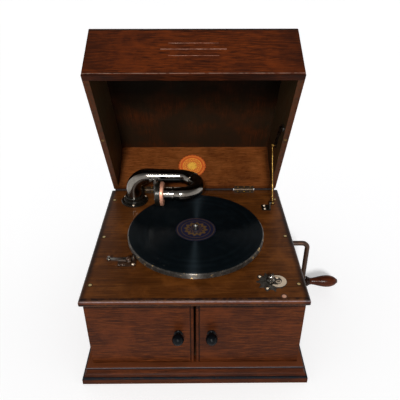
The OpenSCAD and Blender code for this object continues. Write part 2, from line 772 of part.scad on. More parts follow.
module record() {
    color("black") translate([spindle_x, spindle_y, platter_top]) rotate_extrude()
        polygon([[pin_r + run_gap, 0], [record_r - 0.6, 0], [record_r, 0.6], [record_r, record_t - 0.6],
            [record_r - 0.6, record_t], [pin_r + run_gap, record_t]]);
}

module spindle() {
    top = platter_top + record_t + pin_l;
    seat = platter_top + record_t + 0.3;
    color("silver") translate([spindle_x, spindle_y, 0]) {
        rod_z(0, 0, plate_lo + 1, platter_top, spindle_r);
        rod_z(0, 0, platter_top - 0.5, seat + 0.5, pin_r - 0.3);
        rod_z(0, 0, seat, top - 1.5, pin_r);
        translate([0, 0, top - 1.5]) cylinder(h = 1.5, r1 = pin_r, r2 = pin_r - 1.2);
        rod_z(0, 0, hub_z - 3, hub_z, 7);
        rod_z(0, 0, gov_z - gov_w / 2 - 3, gov_z - gov_w / 2, 9);
        translate([0, 0, barrel_z0 - 0.5]) rotate([0, 0, 90 + 180 / pinion_teeth]) linear_extrude(height = 5)
            polygon(gear_points(pinion_teeth, gear_m, 0.25, gear_m * 0.85, gear_m * 1.25));
    }
}

module governor_wheel() {
    color("peru") translate([spindle_x, spindle_y, gov_z]) rotate([0, 0, -90])
        rotate([0, 0, -gov_w / 2 * tan(gov_helix) / gov_r * 180 / PI])
        translate([0, 0, -gov_w / 2])
        linear_extrude(height = gov_w, twist = -gov_w * tan(gov_helix) / gov_r * 180 / PI, slices = 4) difference() {
            polygon(helix_points(gov_teeth, gov_r, 0.85, 0.5, 0.8));
            circle(r = 4.3, $fn = 12);
        }
}

module governor_worm() {
    rate = tan(90 - gov_helix) / worm_r * 180 / PI;
    color("silver") translate([spindle_x, gov_y, gov_z]) rotate([90, 0, 90])
        rotate([0, 0, 180 / worm_starts - worm_l / 2 * rate])
        translate([0, 0, -worm_l / 2])
        linear_extrude(height = worm_l, twist = -worm_l * rate, slices = 20)
            polygon(helix_points(worm_starts, worm_r, 1.4, 0.5, 0.8));
}

module governor() {
    x0 = spindle_x + worm_l / 2;
    spring = [[15, 4.5], [30, 9.2], [38, 9.2], [51, 4.5], [51, 5.1], [38, 9.8], [30, 9.8], [15, 5.1]];
    color("gold") {
        rod_x(gov_x0 - 2.5, spindle_x - worm_l / 2, gov_y, gov_z, 1.5, 1.5);
        rod_x(x0, gov_x1 + 2.5, gov_y, gov_z, 1.5, 1.5);
        rod_x(14, 18, gov_y, gov_z, 5.5, 5.5);
        rod_x(48, 56, gov_y, gov_z, 5.5, 5.5);
        rod_x(56, 58.2, gov_y, gov_z, 13, 13);
        translate([0, gov_y, gov_z]) for (a = [0, 120, 240]) rotate([a, 0, 0]) {
            translate([0, 2, 0]) rotate([90, 0, 0]) linear_extrude(height = 4) polygon(spring);
            translate([34, 0, 12.5]) rotate_extrude() polygon(concat([[0, -4]], arc([0, 0], 4, -80, 80, 8), [[0, 4]]));
        }
    }
}

module spring_barrel() {
    color("goldenrod") translate([barrel_x, barrel_y, 0]) difference() {
        union() {
            rod_z(0, 0, barrel_z0, barrel_z1, barrel_r);
            translate([0, 0, barrel_z0]) rotate([0, 0, -90]) linear_extrude(height = 4)
                polygon(gear_points(great_teeth, gear_m, 0.25, gear_m * 0.85, gear_m * 1.25));
        }
        rod_z(0, 0, barrel_z0 + 2, barrel_z1 - 2, barrel_r - 2);
        rod_z(0, 0, barrel_z0 - 1, barrel_z1 + 1, arbor_r + run_gap);
    }
}

module mainspring() {
    turns = 7;
    n = 18 * turns;
    r0 = 7.5;
    r1 = barrel_r - 3;
    color("slategray") translate([barrel_x, barrel_y, barrel_z0 + 2]) linear_extrude(height = barrel_z1 - barrel_z0 - 4.3)
        polygon(concat(
            [for (i = [0:n]) (r0 + (r1 - r0) * i / n + 0.9) * [cos(i * 20), sin(i * 20)]],
            [for (i = [n:-1:0]) (r0 + (r1 - r0) * i / n) * [cos(i * 20), sin(i * 20)]]));
}

module winding_arbor() {
    color("silver") translate([barrel_x, barrel_y, 0]) {
        rod_z(0, 0, plate_lo + 1, plate_hi + plate_t, arbor_r);
        rod_z(0, 0, barrel_z0 + 2.3, barrel_z1 - 2.3, 6.5);
        rod_z(0, 0, barrel_z1 + 0.4, crown_z - 3, 9);
        rod_z(0, 0, crown_z - 3.1, crown_z, crown_r + 3);
        for (i = [0:crown_teeth - 1]) rotate([0, 0, (i + 0.5) * 360 / crown_teeth])
            translate([crown_r - 2.5, -0.6, crown_z - 0.5]) cube([5, 1.2, 3]);
    }
}

module ring2d(ro, ri) {
    difference() {
        circle(r = ro);
        circle(r = ri);
    }
}

module crank_rod() {
    bend = 12;
    foot = 6;
    low = crank_z - crank_l;
    color("dimgray") {
        translate([barrel_x + crown_r - 2.5, crank_y, crank_z]) rotate([90, 0, 90]) rotate([0, 0, -90])
            linear_extrude(height = 5) polygon(gear_points(wind_teeth, wind_m, 0.6, 1, 1.45));
        rod_x(barrel_x + crown_r + 2.4, crank_x - bend, crank_y, crank_z, crank_r, crank_r);
        translate([crank_x - bend, crank_y, crank_z - bend]) rotate([90, 0, 0])
            rotate_extrude(angle = 90) translate([bend, 0]) circle(r = crank_r);
        rod_z(crank_x, crank_y, low + foot, crank_z - bend, crank_r);
        translate([crank_x + foot, crank_y, low + foot]) rotate([90, 0, 0]) rotate([0, 0, 180])
            rotate_extrude(angle = 90) translate([foot, 0]) circle(r = crank_r);
        rod_x(crank_x + foot - 0.1, crank_x + foot + grip_l + 1.5, crank_y, low, 3.2, 3.2);
        rod_x(crank_x + foot + grip_l + 0.8, crank_x + foot + grip_l + 2.6, crank_y, low, 5.5, 4.5);
    }
}

module crank_grip() {
    l = grip_l;
    neck = 13;
    belly = l - 20;
    belly_r = 12.8;
    color("sienna") turned_x(crank_x + 6.4, crank_y, crank_z - crank_l)
        polygon(concat([[3.2 + run_gap, 0], [9.5, 0], [11, 1.5], [11, 4.5], [9.2, 6], [9.2, 7.5], [8, 9], [7.2, neck]],
            [for (i = [1:10]) [7.2 + (belly_r - 7.2) * pow(sin(i * 9), 1.4), neck + (belly - neck) * i / 10]],
            [for (i = [1:7]) [belly_r * cos(i * 9), belly + (l - belly) * sin(i * 9) / sin(63)]],
            [[3.2 + run_gap, l]]));
}

module tube_bend(r, a0, a1, ro, ri) {
    rotate([0, 0, a0]) rotate_extrude(angle = a1 - a0) translate([r, 0]) ring2d(ro, ri);
}

module tube_z(z0, z1, ro0, ro1, ri0, ri1) {
    slope = (ri1 - ri0) / (z1 - z0);
    translate([0, 0, z0]) difference() {
        cylinder(h = z1 - z0, r1 = ro0, r2 = ro1);
        translate([0, 0, -1]) cylinder(h = z1 - z0 + 2, r1 = ri0 - slope, r2 = ri1 + slope);
    }
}

module swivel_place() {
    translate([crook_start + crook_bend * cos(45), crook_bend * (sin(45) - 1), 0]) rotate([0, 0, -45])
        rotate([0, 90, 0]) children();
}

module tonearm_tube() {
    color("silver") arm_place() {
        tube_z(deck_top + 3.2 - arm_h, -foot_bend, arm_r, arm_r, bore_r, bore_r);
        translate([foot_bend, 0, -foot_bend]) rotate([90, 0, 0]) tube_bend(foot_bend, 90, 180, arm_r, bore_r);
        rotate([0, 90, 0])
            tube_z(foot_bend - 0.5, crook_start + 0.5, arm_r - 0.1, arm_end_r - 0.1,
                bore_r - 0.1, arm_end_r - arm_wall - 0.1);
        translate([crook_start, -crook_bend, 0]) tube_bend(crook_bend, 45, 90, arm_end_r, arm_end_r - arm_wall);
        swivel_place() {
            tube_z(-1.6, 0.05, arm_end_r + 1.2, arm_end_r + 1.2, swivel_r - 1.2, swivel_r - 1.2);
            tube_z(-0.1, swivel_l - 0.6, swivel_r, swivel_r, swivel_r - 1.2, swivel_r - 1.2);
        }
    }
}

module crook_tube() {
    bore = neck_r - arm_wall - 0.2;
    color("silver") arm_place() {
        swivel_place()
            tube_z(0.25, swivel_l + 0.1, arm_end_r + 1.2, arm_end_r + 1.2, swivel_r + run_gap, swivel_r + run_gap);
        translate([crook_x, -crook_bend - swivel_l * sin(45), 0])
            tube_bend(crook_bend, -90, 45, arm_end_r, arm_end_r - arm_wall);
        translate([0, crook_y, 0]) rotate([0, -90, 0]) {
            tube_z(-crook_x - 0.5, -neck_end, arm_end_r - 0.1, neck_r, arm_end_r - arm_wall - 0.1, neck_r - arm_wall);
            tube_z(-neck_end - 0.3, -neck_end + 3, neck_r + 2.2, neck_r + 2.2, bore, bore);
            tube_z(-neck_end + 2.9, -box_back, neck_r, neck_r, neck_r - arm_wall, neck_r - arm_wall);
        }
    }
}

module soundbox_back() {
    color("peru") arm_place() turned_x(0, crook_y, 0)
        polygon([[neck_r - arm_wall, box_back - box_back_t], [box_r - 1, box_back - box_back_t],
            [box_r - 1, box_back - 1.5], [box_r - 2.5, box_back], [neck_r - arm_wall, box_back]]);
}

module soundbox_case() {
    back = box_back - box_back_t;
    color("dimgray") arm_place() turned_x(0, crook_y, 0)
        polygon([[19, box_front], [box_r - 1.5, box_front], [box_r, box_front + 1.5], [box_r, back - 1], [box_r - 1, back],
            [20.5, back], [20.5, box_front + 2], [19, box_front + 2]]);
}

module diaphragm() {
    color("lightyellow") arm_place() turned_x(0, crook_y, 0)
        polygon([[0, box_front + 2], [20.4, box_front + 2], [20.4, box_front + 2.5], [0, box_front + 2.5]]);
}

module stylus_bar() {
    color("silver") arm_place() translate([box_front, crook_y, 0]) difference() {
        union() {
            rod_x(-1.2, 2, 0, 0, 1.4, 1.4);
            board(-3.4, -1, -2, 2, -2.5, 28.5);
            board(-3.4, 1, -2, 2, 25.5, 28.5);
            rod_z(2, 0, box_r + 0.05, 33, 3.4);
        }
        rod_z(2, 0, box_r, 34, 0.8);
        rod_x(-4, 2, 0, 31, 1.2, 1.2);
    }
}

module needle() {
    color("silver") arm_place() translate([box_front + 2, crook_y, 0]) {
        rod_z(0, 0, box_r + 0.5, needle_reach - 3, 0.8);
        translate([0, 0, needle_reach - 3]) cylinder(h = 3, r1 = 0.8, r2 = 0.15);
    }
}

module needle_screw() {
    color("silver") arm_place() translate([box_front + 2, crook_y, 31]) {
        rod_x(-9, -1, 0, 0, 1.2 - run_gap, 1.2 - run_gap);
        rod_x(-12, -8.5, 0, 0, 2.4, 2.4);
        board(-13, -8.9, -0.6, 0.6, -4, 4);
    }
}

module brake_lever() {
    tip = brake_p + [-34.5, 0.6];
    pad = [spindle_x, spindle_y] + (platter_r + free_gap + 2) * [-0.845, -0.535];
    color("gold") {
        translate([0, 0, brake_z]) linear_extrude(height = 3) difference() {
            union() {
                polygon([brake_p + [2, 3.5], tip + [0, 2.4], tip + [0, -2.4], brake_p + [2, -3.5]]);
                polygon([brake_p + [0, 4], pad + [0, 2], pad + [0, -2], brake_p + [0, -4]]);
                translate(brake_p) circle(r = 6);
                translate(tip) circle(r = 4);
                translate(pad) circle(r = 2);
            }
            translate(brake_p) circle(r = 2.5 + run_gap);
        }
        rod_z(tip[0], tip[1], brake_z + 2.9, brake_z + 7, 2.5);
        rod_z(pad[0], pad[1], brake_z + 2.9, brake_z + 10, 2);
    }
}

base_board();
plinth();
side_left();
side_right();
back_panel();
front_rail();
motor_board();
deck_screws();
small_screws();
button_disc();
door_pivots();
hinge_deck_leaves();
stay_bracket();
tonearm_base();
horn_floor();
horn_left();
horn_right();
horn_rear_ceiling();
horn_front_ceiling();
throat_pipe();
brake_plate();
regulator_plate();
crank_escutcheon();
motor_top_plate();
motor_frame();
lid_front();
lid_back();
lid_left();
lid_right();
lid_top();
hinge_lid_leaves();
lid_studs();
stay_track();
stay_rod();
door_left();
knob_left();
door_right();
knob_right();
platter();
record();
spindle();
governor_wheel();
spring_barrel();
mainspring();
winding_arbor();
crank_rod();
crank_grip();
tonearm_tube();
crook_tube();
soundbox_back();
soundbox_case();
diaphragm();
stylus_bar();
needle();
needle_screw();
brake_lever();
regulator_knob();
speed_lever();
governor_worm();
governor();
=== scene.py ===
import json
import math
import bmesh
import bpy
from mathutils import Matrix, Vector


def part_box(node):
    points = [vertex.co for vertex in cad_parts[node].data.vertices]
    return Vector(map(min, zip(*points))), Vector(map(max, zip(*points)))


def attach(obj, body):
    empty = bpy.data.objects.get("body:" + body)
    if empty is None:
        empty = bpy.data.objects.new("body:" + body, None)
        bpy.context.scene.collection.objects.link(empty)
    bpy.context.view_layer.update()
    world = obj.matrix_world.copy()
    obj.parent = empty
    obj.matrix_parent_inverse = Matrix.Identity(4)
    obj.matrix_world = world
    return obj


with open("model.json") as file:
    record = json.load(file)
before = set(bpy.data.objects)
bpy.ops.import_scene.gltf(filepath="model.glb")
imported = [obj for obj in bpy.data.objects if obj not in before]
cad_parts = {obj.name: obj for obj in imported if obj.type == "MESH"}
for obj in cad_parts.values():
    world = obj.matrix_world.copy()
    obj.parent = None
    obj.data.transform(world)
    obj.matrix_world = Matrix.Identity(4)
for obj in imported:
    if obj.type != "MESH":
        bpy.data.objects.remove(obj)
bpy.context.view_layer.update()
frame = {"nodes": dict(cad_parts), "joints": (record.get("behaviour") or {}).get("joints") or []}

mm = 0.001
nodes = frame["nodes"]
joints = {joint["name"]: joint for joint in frame["joints"]}
scene = bpy.context.scene
scene.view_settings.view_transform = "Standard"


def edge(node, side, axis):  # a solid's low (0) or high (1) edge at rest, in millimetres
    return round(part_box(node)[side][axis] / mm, 2)


# edges that the marks and the trim follow, in millimetres
deckTop, deckSide = edge("motor_board", 1, 2), edge("motor_board", 1, 0)
deckFront, deckBack = edge("motor_board", 0, 1), edge("motor_board", 1, 1)
plinthTop, caseBack = edge("plinth", 1, 2), edge("back_panel", 1, 1)
doorTop, doorEdge = edge("door_right", 1, 2), edge("door_right", 0, 0)
gripEnd, plateFace = edge("crank_grip", 0, 0), edge("crank_escutcheon", 1, 0)
# and the lid's when it is shut
lidGap, lidHigh, lidInset, lidWall = 1, 116, 6, 11
lidRim, lidTop = deckTop + lidGap, deckTop + lidGap + lidHigh
lidSide, lidDeep = edge("lid_right", 1, 0), deckBack - lidInset


def tint(code):  # sRGB hex to linear
    parts = [int(code[i:i + 2], 16) / 255 for i in (1, 3, 5)]
    return tuple(p / 12.92 if p <= 0.04045 else ((p + 0.055) / 1.055) ** 2.4 for p in parts) + (1.0,)


def addNode(tree, kind, settings=None, sockets=None):  # sockets by name or number, or a tuple in order
    node = tree.nodes.new(kind)
    for key, value in (settings or {}).items():
        if key == "stops":  # colour stops of a ramp, as place and hex colour
            ramp = node.color_ramp
            while len(ramp.elements) < len(value):
                ramp.elements.new(1.0)
            for stop, (place, code) in zip(ramp.elements, value):
                stop.position = place
                stop.color = tint(code)
        elif key == "step":
            node.color_ramp.interpolation = value
        else:
            setattr(node, key, value)
    if isinstance(sockets, tuple):  # a Map Range takes value, from low, from high, to low, to high
        sockets = dict(enumerate(sockets))
    for key, value in (sockets or {}).items():
        if isinstance(value, bpy.types.NodeSocket):
            tree.links.new(value, node.inputs[key])
        else:
            node.inputs[key].default_value = value
    return node


def startMaterial(name, look):
    mat = bpy.data.materials.new(name)
    mat.use_nodes = True
    tree = mat.node_tree
    tree.nodes.clear()
    shader = addNode(tree, "ShaderNodeBsdfPrincipled", None, look)
    addNode(tree, "ShaderNodeOutputMaterial", None, {"Surface": shader.outputs[0]})
    return mat, tree, shader, addNode(tree, "ShaderNodeTexCoord").outputs["Object"]


# the lid stands open at rest, so its marks are drawn as if it were shut
lidHinge = Vector(joints["lid_hinge"]["pos_m"])
lidAngle = math.radians(joints["lid_hinge"]["range_deg"][1])
openLid = Matrix.Translation(lidHinge) @ Matrix.Rotation(-lidAngle, 4, "X") @ Matrix.Translation(-lidHinge)
shutShift = lidHinge - Matrix.Rotation(lidAngle, 3, "X") @ lidHinge


def shutPlace(tree, place):
    return addNode(tree, "ShaderNodeMapping", None, {
        "Vector": place, "Rotation": (lidAngle, 0, 0), "Location": shutShift}).outputs[0]


# cloud sizes in millimetres, then each mask: where it starts, where it is full, its least and its most
# the pores' most and the lines' least differ from wood to wood
woodDraw = {
    "stain": 75, "stainMask": (0.46, 0.74, 0.0, 0.55), "thin": 48, "thinMask": (0.5, 0.72, 0.0, 0.6),
    "fleck": 7, "poreMask": (0.54, 0.72, 0.0), "bandBreaks": (0.25, 0.55, 0.55, 1.0), "lineBreaks": (0.36, 0.54),
    "roughMask": (0.3, 0.7), "smoother": 0.06, "rougher": 0.1, "core": 0.35, "relief": 0.12, "bump": 0.35}


def woodMaterial(name, look):
    mat, tree, shader, place = startMaterial(name, {
        "Roughness": look["gloss"], "IOR": 1.5, "Specular IOR Level": look["shine"]})
    if look.get("lid"):
        place = shutPlace(tree, place)
    spot = addNode(tree, "ShaderNodeSeparateXYZ", None, (place,)).outputs

    def along(axis, longMm, wideMm):  # coordinates drawn out along the grain
        size = [1 / (wideMm * mm)] * 3
        size[axis] = 1 / (longMm * mm)
        return addNode(tree, "ShaderNodeMapping", None, {"Vector": place, "Scale": size}).outputs[0]

    def streaks(longMm, wideMm, detail, bend):
        at = along(look["grain"], longMm, wideMm)
        if "mitre" in look:  # a moulding that runs round the case turns its grain at the corner mitres
            reach = tuple(addNode(tree, "ShaderNodeMath", {"operation": "ABSOLUTE"}, (spot[i],)).outputs[0]
                          for i in (0, 1))
            past = addNode(tree, "ShaderNodeMath", {"operation": "SUBTRACT"}, reach).outputs[0]
            turned = addNode(tree, "ShaderNodeMath", {"operation": "GREATER_THAN"}, (past, look["mitre"] * mm))
            at = addNode(tree, "ShaderNodeMix", {"data_type": "VECTOR"}, {
                0: turned.outputs[0], 4: at, 5: along(1, longMm, wideMm)}).outputs[1]
        return addNode(tree, "ShaderNodeTexNoise", None, {
            "Vector": at, "Scale": 1.0, "Detail": detail, "Roughness": 0.62, "Distortion": bend}).outputs[0]

    def kept(mask, wear, limits):  # a mark broken into patches, only where each named axis is below its limit
        shares = [wear] + [
            addNode(tree, "ShaderNodeMath", {"operation": "LESS_THAN"}, (spot[axis], below * mm)).outputs[0]
            for axis, below in limits]
        for share in shares:
            mask = addNode(tree, "ShaderNodeMath", {"operation": "MULTIPLY"}, (mask, share)).outputs[0]
        return mask

    figure = streaks(look["figureLong"], look["figureWide"], detail=5.0, bend=0.5)
    colour = addNode(tree, "ShaderNodeValToRGB", {"stops": look["tones"]}, (figure,)).outputs[0]
    pores = streaks(look["poreLong"], look["poreWide"], detail=2.0, bend=0.1)
    poreMask = addNode(tree, "ShaderNodeMapRange", None, (
        pores, *woodDraw["poreMask"], look["poreDepth"])).outputs[0]
    stain = addNode(tree, "ShaderNodeTexNoise", None, {
        "Vector": place, "Scale": 1 / (woodDraw["stain"] * mm), "Detail": 3.0, "Roughness": 0.55}).outputs[0]
    stainMask = addNode(tree, "ShaderNodeMapRange", None, (stain, *woodDraw["stainMask"])).outputs[0]
    thin = addNode(tree, "ShaderNodeTexNoise", None, {
        "Vector": place, "Scale": 1 / (woodDraw["thin"] * mm), "Detail": 5.0, "Roughness": 0.6,
        "Distortion": 0.4}).outputs[0]
    thinMask = addNode(tree, "ShaderNodeMapRange", None, (thin, *woodDraw["thinMask"])).outputs[0]
    # polish worn thin shows the wood warmer
    layers = [(poreMask, look["poreTone"]), (stainMask, look["stainTone"]), (thinMask, look["glowTone"])]

    bandBreaks = addNode(tree, "ShaderNodeMapRange", None, (stain, *woodDraw["bandBreaks"])).outputs[0]
    for axis, start, full, strength, code, *limits in look["bands"]:  # bands along edges: old polish and dirt, and in some woods painted shade and painted light
        side = addNode(tree, "ShaderNodeMath", {"operation": "ABSOLUTE"}, (spot[axis],)).outputs[0]
        mask = addNode(tree, "ShaderNodeMapRange", {"interpolation_type": "SMOOTHSTEP"}, (
            side, start * mm, full * mm, 0.0, strength)).outputs[0]
        layers.append((kept(mask, bandBreaks, limits), code))
    fleck = addNode(tree, "ShaderNodeTexNoise", None, {
        "Vector": place, "Scale": 1 / (woodDraw["fleck"] * mm), "Detail": 4.0}).outputs[0]
    lineBreaks = addNode(tree, "ShaderNodeMapRange", None, (
        fleck, *woodDraw["lineBreaks"], look["least"], 1.0)).outputs[0]
    for axis, middle, half, strength, code, *limits in look["lines"]:  # thin lines of wear and dirt, and in some woods painted shade and painted highlights
        gap = addNode(tree, "ShaderNodeMath", {"operation": "SUBTRACT"}, (spot[axis], middle * mm)).outputs[0]
        gap = addNode(tree, "ShaderNodeMath", {"operation": "ABSOLUTE"}, (gap,)).outputs[0]
        mask = addNode(tree, "ShaderNodeMapRange", {"interpolation_type": "SMOOTHSTEP"}, (
            gap, half * woodDraw["core"] * mm, half * mm, strength, 0.0)).outputs[0]
        layers.append((kept(mask, lineBreaks, limits), code))
    for mask, code in layers:
        colour = addNode(tree, "ShaderNodeMix", {"data_type": "RGBA"}, {
            0: mask, 6: colour, 7: tint(code)}).outputs[2]

    rough = addNode(tree, "ShaderNodeMapRange", None, (
        figure, *woodDraw["roughMask"], look["gloss"] - woodDraw["smoother"],
        look["gloss"] + woodDraw["rougher"])).outputs[0]
    height = addNode(tree, "ShaderNodeMath", {"operation": "MULTIPLY_ADD"}, (
        poreMask, -1.0, figure)).outputs[0]
    bump = addNode(tree, "ShaderNodeBump", None, {
        "Strength": woodDraw["bump"], "Distance": woodDraw["relief"] * mm, "Height": height}).outputs[0]
    for source, target in ((colour, "Base Color"), (rough, "Roughness"), (bump, "Normal")):
        tree.links.new(source, shader.inputs[target])
    return mat


# French-polished oak: streaks about 2 mm wide, darker open pores, dirt along some edges and painted shade and
# painted highlights along others
# pores are drawn about twice their real width so that they show; sizes and places are in millimetres
# bands: axis, start, full, strength, tone; lines: axis, middle, half width, strength, tone; then limits
frontWood = {
    "grain": 0, "gloss": 0.4, "shine": 0.07, "figureLong": 34, "figureWide": 2.1, "poreLong": 10,
    "poreWide": 0.95, "poreDepth": 0.75, "poreTone": "#190a05", "stainTone": "#2b130b", "glowTone": "#5d2c12",
    "tones": [(0.3, "#260e04"), (0.5, "#421e0b"), (0.72, "#683516")],
    # the dark line just below the deck's edge is painted shade under its overhang, along the tops of the
    # doors, sides and back panel
    "least": 0.7, "bands": [], "lines": [(2, doorTop - 2.2, 4.6, 0.9, "#120a08")]}
sideWood = dict(frontWood, grain=1)
# the doors also get painted shade in the quirks beside their meeting beads
quirk = doorEdge + 5.75
doorWood = dict(frontWood, lines=frontWood["lines"] + [
    (0, -quirk, 1.3, 0.9, "#0f0807"), (0, quirk, 1.3, 0.9, "#0f0807")])
footShoulder = 13.0  # where the plinth's foot rounds over
plinthWood = dict(
    frontWood, mitre=10, shine=0.04, least=0.8, glowTone="#4f2410",
    tones=[(0.3, "#2a1107"), (0.5, "#3f1d0c"), (0.72, "#5c2d14")],
    # the lighter flat top is painted light; the blue-black lines on the bead and at the foot's shoulder are
    # painted shade, with painted highlight flecks on the bead's upper edge
    bands=[(2, plinthTop - 0.8, plinthTop - 0.1, 0.5, "#7a4429")],
    lines=[(2, plinthTop - 3.8, 2.6, 1.0, "#10151b"), (2, plinthTop - 1.7, 0.6, 0.4, "#8a8c92"),
           (2, footShoulder, 2.8, 1.0, "#12171c")])
nose = (1, deckFront + 3)  # keeps a mark to the board's rounded front edge
deckWood = dict(
    frontWood, gloss=0.36, shine=0.1, least=0.55, figureLong=70, figureWide=4, poreDepth=0.5,
    poreTone="#231003", stainTone="#331704", glowTone="#7c461b",
    tones=[(0.28, "#3c210b"), (0.5, "#532c0f"), (0.72, "#6d4019")],
    bands=[(0, deckSide - 14, deckSide - 5, 0.9, "#140b07")],
    # along the front edge a dark line on the rounding; on the nosing a pale line that is painted highlight
    # over some wear, a red-brown strip, and painted shade at its foot above the doors; along the back a darker
    # line
    lines=[(1, deckFront + 3.6, 3.4, 0.9, "#150e0e"), (1, deckBack - 4, 6, 0.6, "#1c0f07"),
           (2, deckTop - 3.6, 1.3, 0.45, "#a8969a", nose), (2, deckTop - 6.8, 1.8, 0.5, "#5a2213", nose),
           (2, deckTop - 10, 2.6, 0.9, "#160d0b", nose)])
lidWood = dict(
    frontWood, lid=True, least=0.25, figureLong=30, figureWide=2.3,
    poreTone="#160804", stainTone="#26100a", glowTone="#6a2d0b",
    tones=[(0.3, "#2a1006"), (0.47, "#431b07"), (0.62, "#632a0a"), (0.78, "#7c3b0f")],
    bands=[(0, lidSide - 70, lidSide, 0.45, "#1e0d07"), (2, lidRim + 3.5, lidRim + 1.5, 0.8, "#140a06"),
           (2, lidTop - 7, lidTop - 1, 0.55, "#1a0c07")],
    # the pale broken line along the rim edge is a painted highlight
    lines=[(2, lidRim + 5, 1.0, 0.5, "#a58b7c")])
# unpolished and darker within, with a warm worn rim
lidSideWood = dict(
    lidWood, grain=1, glowTone="#4a2209",
    bands=[(0, lidSide - 3, lidSide - 5, 0.88, "#3b3120"), (2, lidRim + 3.5, lidRim + 1.5, 0.5, "#1a100a")],
    lines=[(2, lidRim, 1.4, 0.8, "#4f2a15")])
# paler within, dark outside
lidBackWood = dict(
    lidWood, shine=0.0, gloss=0.5, glowTone="#7d4822", lines=[],
    tones=[(0.28, "#4a2711"), (0.5, "#673617"), (0.72, "#7e4a24")],
    bands=[(0, lidSide - 30, lidSide - 12, 0.5, "#1d0f07"), (1, lidDeep - 4, lidDeep - 1.5, 0.85, "#38170a")])
# nearly black within from a dark stain, darkest towards the front, where that is painted shade from the lid's
# front wall
lidTopWood = dict(
    lidWood, grain=1, lines=[],
    bands=[(2, lidTop - 3.5, lidTop - 6.5, 0.9, "#221b12"),
           # painted shade towards the front, on the inner face only
           (1, -2, 26, 0.72, "#0a0a07", (1, 0), (2, lidTop - 6))])
# deal stained dark inside the horn: wide soft streaks, no polish
bareWood = dict(
    frontWood, grain=1, gloss=0.6, lines=[], figureLong=160, figureWide=9,
    poreTone="#1a110a", stainTone="#1c130c", glowTone="#3a281a",
    tones=[(0.25, "#24180f"), (0.5, "#332216"), (0.75, "#45301f")])
# turned beech with a thick red-brown varnish, short streaks along the grip, a black neck
gripWood = dict(
    frontWood, gloss=0.22, shine=0.1, lines=[], figureLong=40, figureWide=3, poreLong=8, poreWide=0.9,
    poreTone="#1e0903", stainTone="#240c05", glowTone="#5c2a10",
    tones=[(0.28, "#280e05"), (0.5, "#421b0a"), (0.72, "#5e2c10")],
    bands=[(0, gripEnd + 11.1, gripEnd + 8.1, 0.85, "#0d0806")])
palette = {name: woodMaterial(name, look) for name, look in {
    "oak_polished_front": frontWood, "oak_polished_door": doorWood, "oak_polished_side": sideWood,
    "oak_polished_plinth": plinthWood, "oak_polished_deck": deckWood, "oak_polished_lid": lidWood,
    "oak_polished_lid_side": lidSideWood, "oak_polished_lid_back": lidBackWood,
    "oak_dark_lid_top": lidTopWood, "deal_stained": bareWood, "beech_varnished_grip": gripWood}.items()}
print("woods:", len(palette))

# relief and the dirty rim's width in millimetres, the rest are shares
metalDraw = {"relief": 0.05, "rim": 0.7, "rimMost": 0.95, "cloudShare": 0.5, "dullMask": (0.5, 0.95),
             "wornRough": 0.25, "spunTurn": 0.25}


def metalMaterial(name, look):
    mat, tree, shader, place = startMaterial(name, {
        "Metallic": look["metal"], "Roughness": look["gloss"], "Specular IOR Level": look.get("shine", 0.5)})
    if "spun" in look:  # fine turning lines round the upright axis draw the highlight out across them
        shader.inputs["Anisotropic"].default_value = look["spun"]
        shader.inputs["Anisotropic Rotation"].default_value = metalDraw["spunTurn"]
    cloud = addNode(tree, "ShaderNodeTexNoise", None, {
        "Vector": place, "Scale": 1 / (look["patch"] * mm), "Detail": 5.0, "Roughness": 0.65}).outputs[0]
    colour = addNode(tree, "ShaderNodeValToRGB", {"stops": look["tones"]}, (cloud,)).outputs[0]
    scuffAt = addNode(tree, "ShaderNodeMapping", None, {
        "Vector": place, "Scale": [1 / (size * mm) for size in look["scuff"]]}).outputs[0]
    scuff = addNode(tree, "ShaderNodeTexNoise", None, {
        "Vector": scuffAt, "Scale": 1.0, "Detail": 3.0}).outputs[0]
    dull = addNode(tree, "ShaderNodeMath", {"operation": "MULTIPLY_ADD"}, (
        cloud, metalDraw["cloudShare"], scuff)).outputs[0]
    rough = addNode(tree, "ShaderNodeMapRange", None, (
        dull, *metalDraw["dullMask"], look["gloss"], look["gloss"] + look["wear"])).outputs[0]

    spot = addNode(tree, "ShaderNodeSeparateXYZ", None, (place,)).outputs
    worn = None
    if "raised" in look:  # plate rubbed through on what stands proud
        low, high, wornTone = look["raised"]
        worn = addNode(tree, "ShaderNodeMapRange", None, (spot[2], low * mm, high * mm, 0.0, 1.0)).outputs[0]
    if "heads" in look:  # old polish and dirt round the rims of small heads, set in rows on both sides
        across, rows, clean, wornTone = look["heads"]
        sideways = addNode(tree, "ShaderNodeMath", {"operation": "ABSOLUTE"}, (spot[0],)).outputs[0]
        sideways = addNode(tree, "ShaderNodeMath", {"operation": "SUBTRACT"}, (
            sideways, across * mm)).outputs[0]
        nearest = None
        for row in rows:
            away = addNode(tree, "ShaderNodeMath", {"operation": "SUBTRACT"}, (spot[1], row * mm)).outputs[0]
            away = addNode(tree, "ShaderNodeMath", {"operation": "ABSOLUTE"}, (away,)).outputs[0]
            nearest = away if nearest is None else addNode(
                tree, "ShaderNodeMath", {"operation": "MINIMUM"}, (nearest, away)).outputs[0]
        flat = addNode(tree, "ShaderNodeCombineXYZ", None, (sideways, nearest)).outputs[0]
        reach = addNode(tree, "ShaderNodeVectorMath", {"operation": "LENGTH"}, (flat,)).outputs["Value"]
        worn = addNode(tree, "ShaderNodeMapRange", None, (
            reach, clean * mm, (clean + metalDraw["rim"]) * mm, 0.0, metalDraw["rimMost"])).outputs[0]
    if worn:
        colour = addNode(tree, "ShaderNodeMix", {"data_type": "RGBA"}, {
            0: worn, 6: colour, 7: tint(wornTone)}).outputs[2]
        rough = addNode(tree, "ShaderNodeMath", {"operation": "MULTIPLY_ADD"}, (
            worn, metalDraw["wornRough"], rough)).outputs[0]

    bump = addNode(tree, "ShaderNodeBump", None, {
        "Strength": look["relief"], "Distance": metalDraw["relief"] * mm, "Height": scuff}).outputs[0]
    for source, target in ((colour, "Base Color"), (rough, "Roughness"), (bump, "Normal")):
        tree.links.new(source, shader.inputs[target])
    return mat


